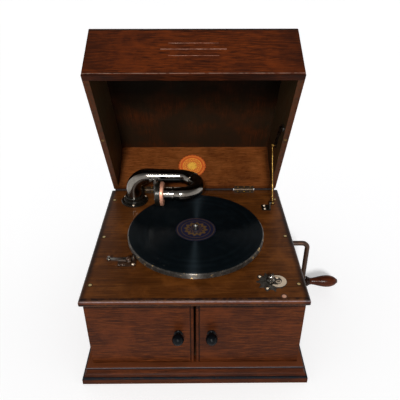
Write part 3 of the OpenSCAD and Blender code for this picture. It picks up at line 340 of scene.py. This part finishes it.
metalLooks = {
    # nickel plate, polished: near mirror, yellowed in patches where the plate has thinned
    "nickel_plated_brass": {
        "metal": 1.0, "gloss": 0.06, "wear": 0.14, "relief": 0.2, "patch": 22, "scuff": (11, 11, 11),
        "tones": [(0.3, "#8d877f"), (0.58, "#726c65"), (0.8, "#5c4c3c")]},
    # the turntable's rim: worn plate, dark with bright and brassy rubs
    "nickel_worn_rim": {
        "metal": 1.0, "gloss": 0.32, "wear": 0.06, "relief": 0.02, "patch": 9, "scuff": (14, 14, 5),
        "spun": 0.98,
        "tones": [(0.33, "#d2b078"), (0.4, "#66625d"), (0.62, "#47433e"), (0.72, "#94836a")]},
    # the brake's lever, plated later and rubbed clean by the thumb
    "nickel_bright": {
        "metal": 1.0, "gloss": 0.14, "wear": 0.08, "relief": 0.01, "patch": 40, "scuff": (30, 30, 6),
        "tones": [(0.3, "#d6d2ca"), (0.55, "#a8a39b"), (0.75, "#6f6353")]},
    # the same plate on the cast regulator, dark below and rubbed pale on its raised scroll
    "nickel_rubbed": {
        "metal": 0.6, "gloss": 0.14, "wear": 0.16, "relief": 0.08, "patch": 9, "scuff": (4, 4, 4),
        "raised": (deckTop + 1.9, deckTop + 2.4, "#eed9bf"),
        "tones": [(0.3, "#6b665f"), (0.58, "#46413b"), (0.8, "#2c251e")]},
    # black japan over iron: deep gloss with brown rubbed spots
    "iron_black_japan": {
        "metal": 0.55, "gloss": 0.16, "wear": 0.2, "relief": 0.08, "patch": 9, "scuff": (4, 4, 4),
        "tones": [(0.35, "#15140f"), (0.6, "#24201a"), (0.8, "#4b3c2c")]},
    # drawn brass gone brown with age
    "brass_aged": {
        "metal": 1.0, "gloss": 0.22, "wear": 0.25, "relief": 0.1, "patch": 7, "scuff": (3, 3, 12),
        "tones": [(0.3, "#d1b267"), (0.55, "#b8954c"), (0.8, "#7d6030")]},
    # the stay's rod and the rim studs, hardly ever cleaned: brown with bright rubs
    "brass_browned": {
        "metal": 0.95, "gloss": 0.24, "wear": 0.25, "relief": 0.12, "patch": 6, "scuff": (3, 3, 9),
        "tones": [(0.3, "#8f733c"), (0.52, "#63491f"), (0.75, "#3a2914")]},
    # brass screw heads rubbed bright in the middle
    "brass_rubbed": {
        "metal": 0.85, "gloss": 0.34, "wear": 0.15, "relief": 0.1, "patch": 4, "scuff": (2, 2, 2),
        "heads": (deckSide - 13, (deckBack - 45, -4, deckFront + 37), 2.3, "#2a1a0c"),
        "tones": [(0.3, "#f0dba4"), (0.55, "#dcc184"), (0.8, "#b89a5e")]},
    # hinge brass gone dull and brown, hardly polished
    "brass_tarnished": {
        "metal": 0.9, "gloss": 0.4, "wear": 0.25, "relief": 0.15, "patch": 8, "scuff": (6, 2, 2),
        "tones": [(0.3, "#6f6150"), (0.55, "#54463a"), (0.8, "#2f261c")]},
    # sheet copper, dulled
    "copper_dulled": {
        "metal": 0.6, "gloss": 0.4, "wear": 0.2, "relief": 0.08, "patch": 6, "scuff": (3, 3, 3),
        "tones": [(0.3, "#f0b79c"), (0.55, "#d99a7c"), (0.8, "#a86c51")]},
    # the small disc on the board, rubbed clean only in its middle
    "copper_rubbed": {
        "metal": 0.6, "gloss": 0.4, "wear": 0.2, "relief": 0.08, "patch": 5, "scuff": (3, 3, 3),
        "heads": (deckSide - 42.3, (deckFront + 7.6,), 3.3, "#3a1f0d"),
        "tones": [(0.3, "#f7c2a2"), (0.55, "#e0a486"), (0.8, "#b57a5c")]},
    # bare machined steel with a film of oil
    "steel_oiled": {
        "metal": 1.0, "gloss": 0.24, "wear": 0.2, "relief": 0.1, "patch": 12, "scuff": (2, 2, 6),
        "tones": [(0.3, "#a3a29d"), (0.6, "#85837d"), (0.8, "#6a6257")]},
    # browned iron rod of the crank: satin dark brown with red rust bloom
    "iron_browned": {
        "metal": 0.45, "gloss": 0.34, "wear": 0.22, "relief": 0.2, "patch": 10, "scuff": (3, 3, 3),
        "tones": [(0.3, "#2a1a0f"), (0.55, "#3d2615"), (0.8, "#5a3820")]},
    # turned hardwood stained black and waxed, with a cold sheen
    "hardwood_ebonised": {
        "metal": 0.0, "shine": 0.09, "gloss": 0.2, "wear": 0.16, "relief": 0.1, "patch": 5, "scuff": (2, 9, 2),
        "tones": [(0.3, "#040608"), (0.6, "#080b0e"), (0.8, "#10151a")]},
    # wool felt: dull grey-brown, soft and hairy
    "felt_grey": {
        "metal": 0.0, "shine": 0.1, "gloss": 0.9, "wear": 0.05, "relief": 0.6, "patch": 3, "scuff": (1, 1, 1),
        "tones": [(0.3, "#1f1c1c"), (0.6, "#2f2a29"), (0.8, "#443d3b")]},
    # old rubber ring: dull, hardened, with a grey bloom
    "rubber_aged": {
        "metal": 0.0, "shine": 0.2, "gloss": 0.6, "wear": 0.2, "relief": 0.3, "patch": 3, "scuff": (1, 1, 1),
        "tones": [(0.3, "#1b1714"), (0.6, "#2b241f"), (0.8, "#40362d")]},
    # wax and chalk stopping rubbed into the cut lines
    "filler_pale": {
        "metal": 0.0, "shine": 0.3, "gloss": 0.5, "wear": 0.1, "relief": 0.3, "patch": 14, "scuff": (5, 1, 1),
        "tones": [(0.3, "#5a3020"), (0.52, "#9a6a56"), (0.75, "#c49a86")]},
    # pressed fibre: dull brown with flecks
    "fibre_pressed": {
        "metal": 0.0, "gloss": 0.6, "wear": 0.2, "relief": 0.4, "patch": 2, "scuff": (1, 1, 1),
        "tones": [(0.3, "#3b2a1c"), (0.6, "#553b27"), (0.8, "#6d4d33")]}}
palette.update({name: metalMaterial(name, look) for name, look in metalLooks.items()})
print("metals and stained pieces:", len(metalLooks))

# shellac disc: glossy black, grooves cut as rings round the spindle hole, sizes in millimetres
# real grooves are 0.25 mm apart and are drawn 1.3 mm apart so that they show
spindle = Vector(joints["turntable_spin"]["pos_m"])
discLook = {
    "groove": 1.3, "outer": 119, "inner": 49, "fade": 0.6, "ring": 7, "ringShare": 0.6, "dust": 16,
    "relief": 0.05, "bump": 0.05, "roughMask": (0.3, 0.7, 0.41, 0.47),
    "tones": [(0.5, "#04080a"), (0.8, "#060b0e"), (1.0, "#0a1013")]}


def shellacMaterial(name, look):
    mat, tree, shader, place = startMaterial(name, {
        "Roughness": 0.44, "Anisotropic": 1.0, "Anisotropic Rotation": 0.25, "Specular IOR Level": 0.14,
        "Specular Tint": tint("#b9d6e6")})
    place = addNode(tree, "ShaderNodeMapping", None, {
        "Vector": place, "Location": (-spindle.x, -spindle.y, 0)}).outputs[0]
    flat = addNode(tree, "ShaderNodeVectorMath", {"operation": "MULTIPLY"}, (place, (1, 1, 0))).outputs[0]
    reach = addNode(tree, "ShaderNodeVectorMath", {"operation": "LENGTH"}, (flat,)).outputs["Value"]
    turns = addNode(tree, "ShaderNodeMath", {"operation": "MULTIPLY"}, (
        reach, 2 * math.pi / (look["groove"] * mm))).outputs[0]
    height = addNode(tree, "ShaderNodeMath", {"operation": "SINE"}, (turns,)).outputs[0]
    # smooth at the rim and round the label
    for rim, before, after in ((look["inner"], 0.0, 1.0), (look["outer"], 1.0, 0.0)):
        cut = addNode(tree, "ShaderNodeMapRange", None, (
            reach, rim * mm, (rim + look["fade"]) * mm, before, after)).outputs[0]
        height = addNode(tree, "ShaderNodeMath", {"operation": "MULTIPLY"}, (height, cut)).outputs[0]
    rings = addNode(tree, "ShaderNodeTexNoise", {"noise_dimensions": "1D"}, {
        "W": reach, "Scale": 1 / (look["ring"] * mm), "Detail": 3.0}).outputs[0]
    dust = addNode(tree, "ShaderNodeTexNoise", None, {
        "Vector": place, "Scale": 1 / (look["dust"] * mm), "Detail": 6.0}).outputs[0]
    mixed = addNode(tree, "ShaderNodeMath", {"operation": "MULTIPLY_ADD"}, (
        rings, look["ringShare"], dust)).outputs[0]
    colour = addNode(tree, "ShaderNodeValToRGB", {"stops": look["tones"]}, (mixed,)).outputs[0]
    rough = addNode(tree, "ShaderNodeMapRange", None, (rings, *look["roughMask"])).outputs[0]
    bump = addNode(tree, "ShaderNodeBump", None, {
        "Strength": look["bump"], "Distance": look["relief"] * mm, "Height": height}).outputs[0]
    for source, target in ((colour, "Base Color"), (rough, "Roughness"), (bump, "Normal")):
        tree.links.new(source, shader.inputs[target])
    return mat


def micaMaterial(name, flakeMm):  # split mica: pale amber, milky, with faint flakes
    mat, tree, shader, place = startMaterial(name, {"Roughness": 0.15, "IOR": 1.58, "Coat Weight": 0.4})
    flake = addNode(tree, "ShaderNodeTexVoronoi", None, {"Vector": place, "Scale": 1 / (flakeMm * mm)})
    colour = addNode(tree, "ShaderNodeValToRGB", {
        "stops": [(0.1, "#c9b48b"), (0.5, "#b39b70"), (0.9, "#d8c7a2")]}, (
            flake.outputs["Distance"],)).outputs[0]
    tree.links.new(colour, shader.inputs["Base Color"])
    return mat


palette["shellac_pressed"] = shellacMaterial("shellac_pressed", discLook)
palette["mica_split"] = micaMaterial("mica_split", flakeMm=4)

finishes = {
    "deal_stained": ["base_board", "horn_floor", "horn_left", "horn_right", "horn_rear_ceiling",
                     "horn_front_ceiling"],
    "oak_polished_side": ["side_left", "side_right"],
    "oak_polished_front": ["front_rail", "back_panel"],
    "oak_polished_door": ["door_left", "door_right"],
    "oak_polished_plinth": ["plinth"],
    "oak_polished_deck": ["motor_board"],
    "oak_polished_lid": ["lid_front"],
    "oak_polished_lid_side": ["lid_left", "lid_right"],
    "oak_polished_lid_back": ["lid_back"],
    "oak_dark_lid_top": ["lid_top"],
    "beech_varnished_grip": ["crank_grip"],
    "nickel_plated_brass": ["tonearm_tube", "crook_tube", "stylus_bar", "needle_screw", "regulator_knob"],
    "nickel_worn_rim": ["platter"],
    "nickel_bright": ["brake_lever"],
    "nickel_rubbed": ["regulator_plate", "small_screws"],
    "iron_black_japan": ["tonearm_base", "soundbox_case", "stay_bracket", "stay_track", "throat_pipe",
                         "crank_escutcheon", "motor_frame"],
    "brass_rubbed": ["deck_screws"],
    "brass_aged": ["door_pivots", "governor_worm", "governor"],
    "brass_browned": ["stay_rod", "lid_studs"],
    "brass_tarnished": ["hinge_deck_leaves", "hinge_lid_leaves"],
    "copper_dulled": ["soundbox_back"],
    "copper_rubbed": ["button_disc"],
    "steel_oiled": ["motor_top_plate", "spindle", "spring_barrel", "mainspring", "winding_arbor", "needle",
                    "speed_lever"],
    "iron_browned": ["crank_rod", "brake_plate"],
    "hardwood_ebonised": ["knob_left", "knob_right"],
    "fibre_pressed": ["governor_wheel"],
    "shellac_pressed": ["record"],
    "mica_split": ["diaphragm"]}
for name, members in finishes.items():
    for member in members:
        for slot in nodes[member].material_slots:
            slot.material = palette[name]
bare = [name for name, node in nodes.items()
        if not any(slot.material in palette.values() for slot in node.material_slots)]
print("finishes set, solids without one:", bare)


def keepPiece(piece, body):
    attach(piece, body)
    return piece


def meshPiece(name, work, mat):
    bmesh.ops.recalc_face_normals(work, faces=work.faces)
    mesh = bpy.data.meshes.new(name)
    work.to_mesh(mesh)
    work.free()
    mesh.materials.append(mat)
    piece = bpy.data.objects.new(name, mesh)
    scene.collection.objects.link(piece)
    return piece


def turnedRing(name, profile, steps, place, mat):  # closed outline of radius and height, swept round an axis
    work = bmesh.new()
    rings = []
    for i in range(steps):
        a = 2 * math.pi * i / steps
        rings.append([work.verts.new(place @ Vector((r * math.cos(a), r * math.sin(a), z)))
                      for r, z in profile])
    for i in range(steps):
        here, there = rings[i], rings[(i + 1) % steps]
        for j in range(len(profile)):
            k = (j + 1) % len(profile)
            work.faces.new((here[j], there[j], there[k], here[k]))
    return meshPiece(name, work, mat)


paperDraw = {"fox": 5, "foxMask": (0.5, 0.8, 0.0, 0.7), "relief": 0.05, "bump": 0.2}  # sizes in millimetres


def paperMaterial(name, look):  # printed paper: flat inks, slight sheen, foxing
    mat, tree, shader, place = startMaterial(name, {"Roughness": 0.55, "Specular IOR Level": 0.35})
    if look.get("lid"):
        place = shutPlace(tree, place)
    place = addNode(tree, "ShaderNodeVectorMath", {"operation": "SUBTRACT"}, (
        place, look["centre"])).outputs[0]
    axes = addNode(tree, "ShaderNodeSeparateXYZ", None, (place,)).outputs
    across, up = axes[0], axes[look["up"]]
    flat = addNode(tree, "ShaderNodeCombineXYZ", None, (across, up)).outputs[0]
    reach = addNode(tree, "ShaderNodeVectorMath", {"operation": "LENGTH"}, (flat,)).outputs["Value"]
    share = addNode(tree, "ShaderNodeMath", {"operation": "DIVIDE"}, (reach, look["radius"])).outputs[0]
    angle = addNode(tree, "ShaderNodeMath", {"operation": "ARCTAN2"}, (up, across)).outputs[0]
    spin = addNode(tree, "ShaderNodeMath", {"operation": "MULTIPLY"}, (angle, look["petals"])).outputs[0]
    lobe = addNode(tree, "ShaderNodeMath", {"operation": "SINE"}, (spin,)).outputs[0]
    wavy = addNode(tree, "ShaderNodeMath", {"operation": "MULTIPLY_ADD"}, (
        lobe, look["swing"], share)).outputs[0]
    rings = addNode(tree, "ShaderNodeValToRGB", {
        "stops": look["rings"], "step": "CONSTANT"}, (share,)).outputs[0]
    petals = addNode(tree, "ShaderNodeValToRGB", {
        "stops": look["bloom"], "step": "CONSTANT"}, (wavy,)).outputs[0]
    near = addNode(tree, "ShaderNodeMath", {"operation": "LESS_THAN"}, (share, look["bloomEdge"])).outputs[0]
    fox = addNode(tree, "ShaderNodeTexNoise", None, {
        "Vector": place, "Scale": 1 / (paperDraw["fox"] * mm), "Detail": 5.0}).outputs[0]
    aged = addNode(tree, "ShaderNodeMapRange", None, (fox, *paperDraw["foxMask"])).outputs[0]
    colour = rings
    for mask, ink in ((near, petals), (aged, tint(look["age"]))):
        colour = addNode(tree, "ShaderNodeMix", {"data_type": "RGBA"}, {0: mask, 6: colour, 7: ink}).outputs[2]
    bump = addNode(tree, "ShaderNodeBump", None, {
        "Strength": paperDraw["bump"], "Distance": paperDraw["relief"] * mm, "Height": fox}).outputs[0]
    tree.links.new(colour, shader.inputs["Base Color"])
    tree.links.new(bump, shader.inputs["Normal"])
    return mat


# label pasted on the disc: dark blue field, bronze rings and a plain rosette
labelLook = {
    "centre": (spindle.x, spindle.y, 0), "up": 1, "radius": 37.5 * mm, "hole": 4.2 * mm, "steps": 96,
    "top": edge("record", 1, 2) * mm, "upright": 0.15 * mm, "thick": 0.25 * mm, "rounding": 0.2 * mm,
    "petals": 12, "swing": 0.06, "bloomEdge": 0.66,
    "rings": [(0.0, "#0c1230"), (0.7, "#4a351c"), (0.74, "#0b102b"), (0.9, "#4c371f"), (0.94, "#0b1028")],
    "bloom": [(0.0, "#0b102b"), (0.2, "#573f20"), (0.26, "#0c1230"), (0.36, "#573f20"), (0.54, "#0c1230")],
    "age": "#15101a"}
labelPaper = paperMaterial("paper_printed_label", labelLook)
labelOutline = [
    (labelLook["hole"], 0), (labelLook["radius"], 0), (labelLook["radius"], labelLook["upright"]),
    (labelLook["radius"] - labelLook["rounding"], labelLook["thick"]), (labelLook["hole"], labelLook["thick"])]
keepPiece(turnedRing("record_label", labelOutline, labelLook["steps"], Matrix.Translation(
    (spindle.x, spindle.y, labelLook["top"])), labelPaper), "turntable")

# paper seal on the lid's inner back: scalloped, orange with a yellow star
sealLook = {
    "lid": True, "centre": (-6 * mm, (lidDeep - lidWall) * mm, (lidRim + 54) * mm), "up": 2, "radius": 31 * mm,
    "scallops": 26, "scallopDepth": 1.5 * mm, "steps": 8,
    "upright": 0.21 * mm, "thick": 0.35 * mm, "rounding": 0.25 * mm,
    "petals": 16, "swing": 0.07, "bloomEdge": 0.6,
    "rings": [(0.0, "#c65a20"), (0.64, "#d79a3a"), (0.69, "#bf5019"), (0.86, "#d28a34"), (0.9, "#b84716")],
    "bloom": [(0.0, "#dba63c"), (0.34, "#a8431a"), (0.39, "#cc6a25"), (0.52, "#d9a23c"), (0.57, "#c65a20")],
    "age": "#8f3f18"}
sealPaper = paperMaterial("paper_printed_seal", sealLook)
sealMiddle, sealSteps = Vector(sealLook["centre"]), sealLook["scallops"] * sealLook["steps"]
work = bmesh.new()
sealRows = []
for depth, shrink in ((0.0, 0.0), (sealLook["upright"], 0.0), (sealLook["thick"], sealLook["rounding"])):
    row = []
    for i in range(sealSteps):
        a = 2 * math.pi * i / sealSteps
        dip = sealLook["scallopDepth"] * (1 - abs(math.sin(a * sealLook["scallops"] / 2)))
        r = sealLook["radius"] - shrink - dip
        row.append(work.verts.new(openLid @ (sealMiddle + Vector((r * math.cos(a), -depth, r * math.sin(a))))))
    sealRows.append(row)
for low, high in zip(sealRows, sealRows[1:]):
    for i in range(sealSteps):
        k = (i + 1) % sealSteps
        work.faces.new((low[i], low[k], high[k], high[i]))
work.faces.new(sealRows[0])
work.faces.new(sealRows[-1])
keepPiece(meshPiece("lid_seal", work, sealPaper), "lid")
print("paper pieces made")

screwShape = {"sides": 22, "crown": 0.72, "slotReach": 3.0, "seed": 7}


def screwTree(shape):  # slotted heads set on points, each turned a little differently
    tree = bpy.data.node_groups.new("slottedScrews", "GeometryNodeTree")
    tree.interface.new_socket("points", in_out="INPUT", socket_type="NodeSocketGeometry")
    for label in ("headRadius", "headHeight", "slotWidth"):
        tree.interface.new_socket(label, in_out="INPUT", socket_type="NodeSocketFloat")
    tree.interface.new_socket("facing", in_out="INPUT", socket_type="NodeSocketVector")
    tree.interface.new_socket("finish", in_out="INPUT", socket_type="NodeSocketMaterial")
    tree.interface.new_socket("screws", in_out="OUTPUT", socket_type="NodeSocketGeometry")
    given = addNode(tree, "NodeGroupInput").outputs
    crown = addNode(tree, "ShaderNodeMath", {"operation": "MULTIPLY"}, (
        given["headRadius"], shape["crown"])).outputs[0]
    head = addNode(tree, "GeometryNodeMeshCone", None, {
        "Vertices": shape["sides"], "Radius Top": crown, "Radius Bottom": given["headRadius"],
        "Depth": given["headHeight"]}).outputs["Mesh"]
    long = addNode(tree, "ShaderNodeMath", {"operation": "MULTIPLY"}, (
        given["headRadius"], shape["slotReach"])).outputs[0]
    size = addNode(tree, "ShaderNodeCombineXYZ", None, (
        long, given["slotWidth"], given["headHeight"])).outputs[0]
    bar = addNode(tree, "GeometryNodeMeshCube", None, {"Size": size}).outputs["Mesh"]
    lift = addNode(tree, "ShaderNodeCombineXYZ", None, {2: given["headHeight"]}).outputs[0]
    bar = addNode(tree, "GeometryNodeTransform", None, {"Geometry": bar, "Translation": lift}).outputs[0]
    cut = addNode(tree, "GeometryNodeMeshBoolean", {"operation": "DIFFERENCE"}, {
        "Mesh 1": head, "Mesh 2": bar}).outputs["Mesh"]
    aim = addNode(tree, "FunctionNodeAlignRotationToVector", {"axis": "Z"}, {
        "Vector": given["facing"]}).outputs[0]
    spin = addNode(tree, "FunctionNodeRandomValue", {"data_type": "FLOAT"}, {
        2: 0.0, 3: math.pi, "Seed": shape["seed"]}).outputs[1]
    twist = addNode(tree, "FunctionNodeAxisAngleToRotation", None, {
        "Axis": (0, 0, 1), "Angle": spin}).outputs[0]
    turn = addNode(tree, "FunctionNodeRotateRotation", {"rotation_space": "LOCAL"}, (aim, twist)).outputs[0]
    placed = addNode(tree, "GeometryNodeInstanceOnPoints", None, {
        "Points": given["points"], "Instance": cut, "Rotation": turn}).outputs[0]
    solid = addNode(tree, "GeometryNodeRealizeInstances", None, {"Geometry": placed}).outputs[0]
    done = addNode(tree, "GeometryNodeSetMaterial", None, {
        "Geometry": solid, "Material": given["finish"]}).outputs[0]
    addNode(tree, "NodeGroupOutput", None, (done,))
    return tree


screws = screwTree(screwShape)


def setScrews(name, look):  # places in millimetres, and each head's radius, height and slot
    mesh = bpy.data.meshes.new(name)
    place = look.get("place", Matrix.Identity(4))
    mesh.from_pydata([place @ (Vector(p) * mm) for p in look["at"]], [], [])
    piece = bpy.data.objects.new(name, mesh)
    scene.collection.objects.link(piece)
    modifier = piece.modifiers.new("screws", "NODES")
    modifier.node_group = screws
    radius, height, slot = look["head"]
    values = {"headRadius": radius * mm, "headHeight": height * mm, "slotWidth": slot * mm,
              "facing": place.to_3x3() @ Vector(look["facing"]), "finish": palette[look["finish"]]}
    for item in screws.interface.items_tree:
        if item.in_out == "INPUT" and item.name in values:
            modifier[item.identifier] = values[item.name]
    depsgraph = bpy.context.evaluated_depsgraph_get()
    whole = bpy.data.meshes.new_from_object(piece.evaluated_get(depsgraph), depsgraph=depsgraph)
    piece.modifiers.clear()
    piece.data = whole
    whole.name = name
    print(name, "faces", len(whole.polygons))
    return keepPiece(piece, look["body"])


def bevelBox(work, low, high, cut, place=Matrix.Identity(4)):  # chamfered bar, corners in millimetres
    made = bmesh.ops.create_cube(work, size=1.0)["verts"]
    size = Vector(high) - Vector(low)
    middle = (Vector(high) + Vector(low)) / 2
    for v in made:
        v.co = Vector((v.co[i] * size[i] for i in range(3))) + middle
    edges = {e for v in made for e in v.link_edges}
    bevelled = bmesh.ops.bevel(
        work, geom=list(edges), offset=cut, segments=2, affect="EDGES", profile=0.5)["verts"]
    for v in bevelled:
        v.co = place @ (v.co * mm)


# felt strip that closes the gap behind the lid, cut away at the two hinges
hingeEnd, hingeLong, hingePitch = edge("hinge_deck_leaves", 1, 0), 43, 14
stripLook = {"end": lidSide - 2, "room": 2, "front": deckBack - 3.6, "back": deckBack - 0.6,
             "foot": deckTop - 4.5, "top": deckTop + 3.4, "cut": 0.5}
outerRun, innerRun = hingeEnd + stripLook["room"], hingeEnd - hingeLong - stripLook["room"]
work = bmesh.new()
for start, end in ((-stripLook["end"], -outerRun), (-innerRun, innerRun), (outerRun, stripLook["end"])):
    bevelBox(work, (start, stripLook["front"], stripLook["foot"]), (end, stripLook["back"], stripLook["top"]),
             stripLook["cut"])
keepPiece(meshPiece("dust_strip", work, palette["felt_grey"]), "case")

# three cut lines on the lid's front, filled with a paler stopping: height over the rim, half length, width
lineLook = {"lines": [(75.5, 42, 1.0), (61.0, 55.5, 1.6), (45.5, 42.5, 1.0)], "endGap": 0.1, "sideGap": 0.05,
            "proud": 0.02, "deep": 0.75, "cut": 0.15}
work = bmesh.new()
for height, half, wide in lineLook["lines"]:
    reach, rise = half - lineLook["endGap"], wide / 2 - lineLook["sideGap"]
    bevelBox(work, (-reach, -lidDeep - lineLook["proud"], lidRim + height - rise),
             (reach, -lidDeep + lineLook["deep"], lidRim + height + rise), lineLook["cut"], openLid)
keepPiece(meshPiece("lid_line_filling", work, palette["filler_pale"]), "lid")

setScrews("back_panel_screws", {
    "at": [(x, caseBack, z) for x in (-160, -55, 55, 160) for z in (48, 160)], "head": (3.4, 0.7, 0.8),
    "facing": (0, 1, 0), "finish": "brass_aged", "body": "case", "slot": "brass"})

# three screws in each leaf of the two hinges
hingeXs = [side * (hingeEnd - hingeLong / 2) + x for side in (-1, 1) for x in (-hingePitch, 0, hingePitch)]
hingeScrew = {"head": (2.2, 0.3, 0.6), "finish": "brass_aged", "slot": "brass"}
setScrews("hinge_deck_screws", dict(
    hingeScrew, at=[(x, deckBack - 10, deckTop) for x in hingeXs], facing=(0, 0, 1), body="case"))

# rim screws and rubber ring on the soundbox, whose axis lies along its own x
soundboxLook = {"centre": (-75.62, 54.43, 248), "turn": -2, "screwRing": 21.0, "screws": 6, "steps": 64,
                "ring": [(18.9, 1.95), (18.9, 1.2), (18.5, 0.8), (17.9, 0.8), (17.4, 1.3), (17.4, 1.95)]}
soundboxPlace = (Matrix.Translation(Vector(soundboxLook["centre"]) * mm)
                 @ Matrix.Rotation(math.radians(soundboxLook["turn"]), 4, "Z"))
screwRing, screwCount = soundboxLook["screwRing"], soundboxLook["screws"]
rimAngles = [2 * math.pi * i / screwCount for i in range(screwCount)]
setScrews("soundbox_rim_screws", {
    "at": [(0, screwRing * math.cos(a), screwRing * math.sin(a)) for a in rimAngles],
    "head": (1.5, 0.45, 0.45), "facing": (-1, 0, 0), "finish": "steel_oiled", "body": "crook", "slot": "steel",
    "place": soundboxPlace})
keepPiece(turnedRing(
    "soundbox_gasket", [(r * mm, z * mm) for r, z in soundboxLook["ring"]], soundboxLook["steps"],
    soundboxPlace @ Matrix.Rotation(math.radians(90), 4, "Y"), palette["rubber_aged"]), "crook")

# the hinge screws again, in the lid's leaves
setScrews("hinge_lid_screws", dict(
    hingeScrew, at=[(x, deckBack - 12, lidRim) for x in hingeXs], facing=(0, 0, -1), body="lid",
    place=openLid))

# two screws beside the crank's hole
crankAxis, plateReach = Vector(joints["crank_turn"]["pos_m"]) / mm, 9.5
setScrews("escutcheon_screws", {
    "at": [(plateFace, crankAxis.y + y, crankAxis.z) for y in (-plateReach, plateReach)],
    "head": (2.0, 0.5, 0.6), "facing": (1, 0, 0), "finish": "steel_oiled", "body": "case", "slot": "steel"})
print("trim made")


def seenRays(tree):  # what the eye sees, also in metal and through glass
    rays = addNode(tree, "ShaderNodeLightPath").outputs
    seen = rays["Is Camera Ray"]
    for kind in ("Is Glossy Ray", "Is Transmission Ray"):
        seen = addNode(tree, "ShaderNodeMath", {"operation": "MAXIMUM"}, (seen, rays[kind])).outputs[0]
    return seen


# white paper sweep, matt with faint clouds, lifted a little for what the eye sees; metres
floorLook = {"half": 12.0, "cloud": 0.7, "lift": 0.27, "tones": [(0.3, "#f7f7f8"), (0.7, "#fafafa")]}
floorMat, floorTree, floorShader, floorPlace = startMaterial("paper_sweep_white", {
    "Roughness": 0.9, "Emission Color": tint("#ffffff")})
cloud = addNode(floorTree, "ShaderNodeTexNoise", None, {
    "Vector": floorPlace, "Scale": floorLook["cloud"]}).outputs[0]
pale = addNode(floorTree, "ShaderNodeValToRGB", {"stops": floorLook["tones"]}, (cloud,)).outputs[0]
lift = addNode(floorTree, "ShaderNodeMath", {"operation": "MULTIPLY"}, (
    seenRays(floorTree), floorLook["lift"])).outputs[0]
floorTree.links.new(pale, floorShader.inputs["Base Color"])
floorTree.links.new(lift, floorShader.inputs["Emission Strength"])
work = bmesh.new()
bmesh.ops.create_grid(work, x_segments=4, y_segments=4, size=floorLook["half"])
meshPiece("floor", work, floorMat)

# plain even light, while the eye and glossy surfaces see pale walls and a dimmer ceiling
studioLook = {"light": 0.32, "wall": 1.0, "ceiling": 0.2, "wallTop": 0.28, "ceilingFrom": 0.72}
world = bpy.data.worlds.new("studio")
scene.world = world
world.use_nodes = True
sky = world.node_tree
aim = addNode(sky, "ShaderNodeTexCoord").outputs["Generated"]
height = addNode(sky, "ShaderNodeSeparateXYZ", None, (aim,)).outputs[2]
glow = addNode(sky, "ShaderNodeMapRange", {"interpolation_type": "SMOOTHSTEP"}, (
    height, studioLook["wallTop"], studioLook["ceilingFrom"],
    studioLook["wall"], studioLook["ceiling"])).outputs[0]
strength = addNode(sky, "ShaderNodeMix", None, {
    0: seenRays(sky), 2: studioLook["light"], 3: glow}).outputs[0]
sky.links.new(strength, sky.nodes["Background"].inputs["Strength"])
sky.nodes["Background"].inputs["Color"].default_value = tint("#ffffff")

lampLook = {"turn": (58, 0, -4), "power": 2.75, "spread": 8}  # one broad soft lamp from the front, above
lamp = bpy.data.lights.new("keyLamp", "SUN")
lamp.energy = lampLook["power"]
lamp.angle = math.radians(lampLook["spread"])
holder = bpy.data.objects.new("keyLamp", lamp)
holder.rotation_euler = [math.radians(a) for a in lampLook["turn"]]
scene.collection.objects.link(holder)

eyeLook = {"place": (0.00413, -0.71006, 0.7001), "turn": (58.58, 0, -0.48), "lens": 41.0, "sensor": 36}
eye = bpy.data.cameras.new("eye")
eye.sensor_width = eyeLook["sensor"]
eye.lens = eyeLook["lens"]
camera = bpy.data.objects.new("eye", eye)
camera.location = eyeLook["place"]
camera.rotation_euler = [math.radians(a) for a in eyeLook["turn"]]
scene.collection.objects.link(camera)
scene.camera = camera
print("stage set")
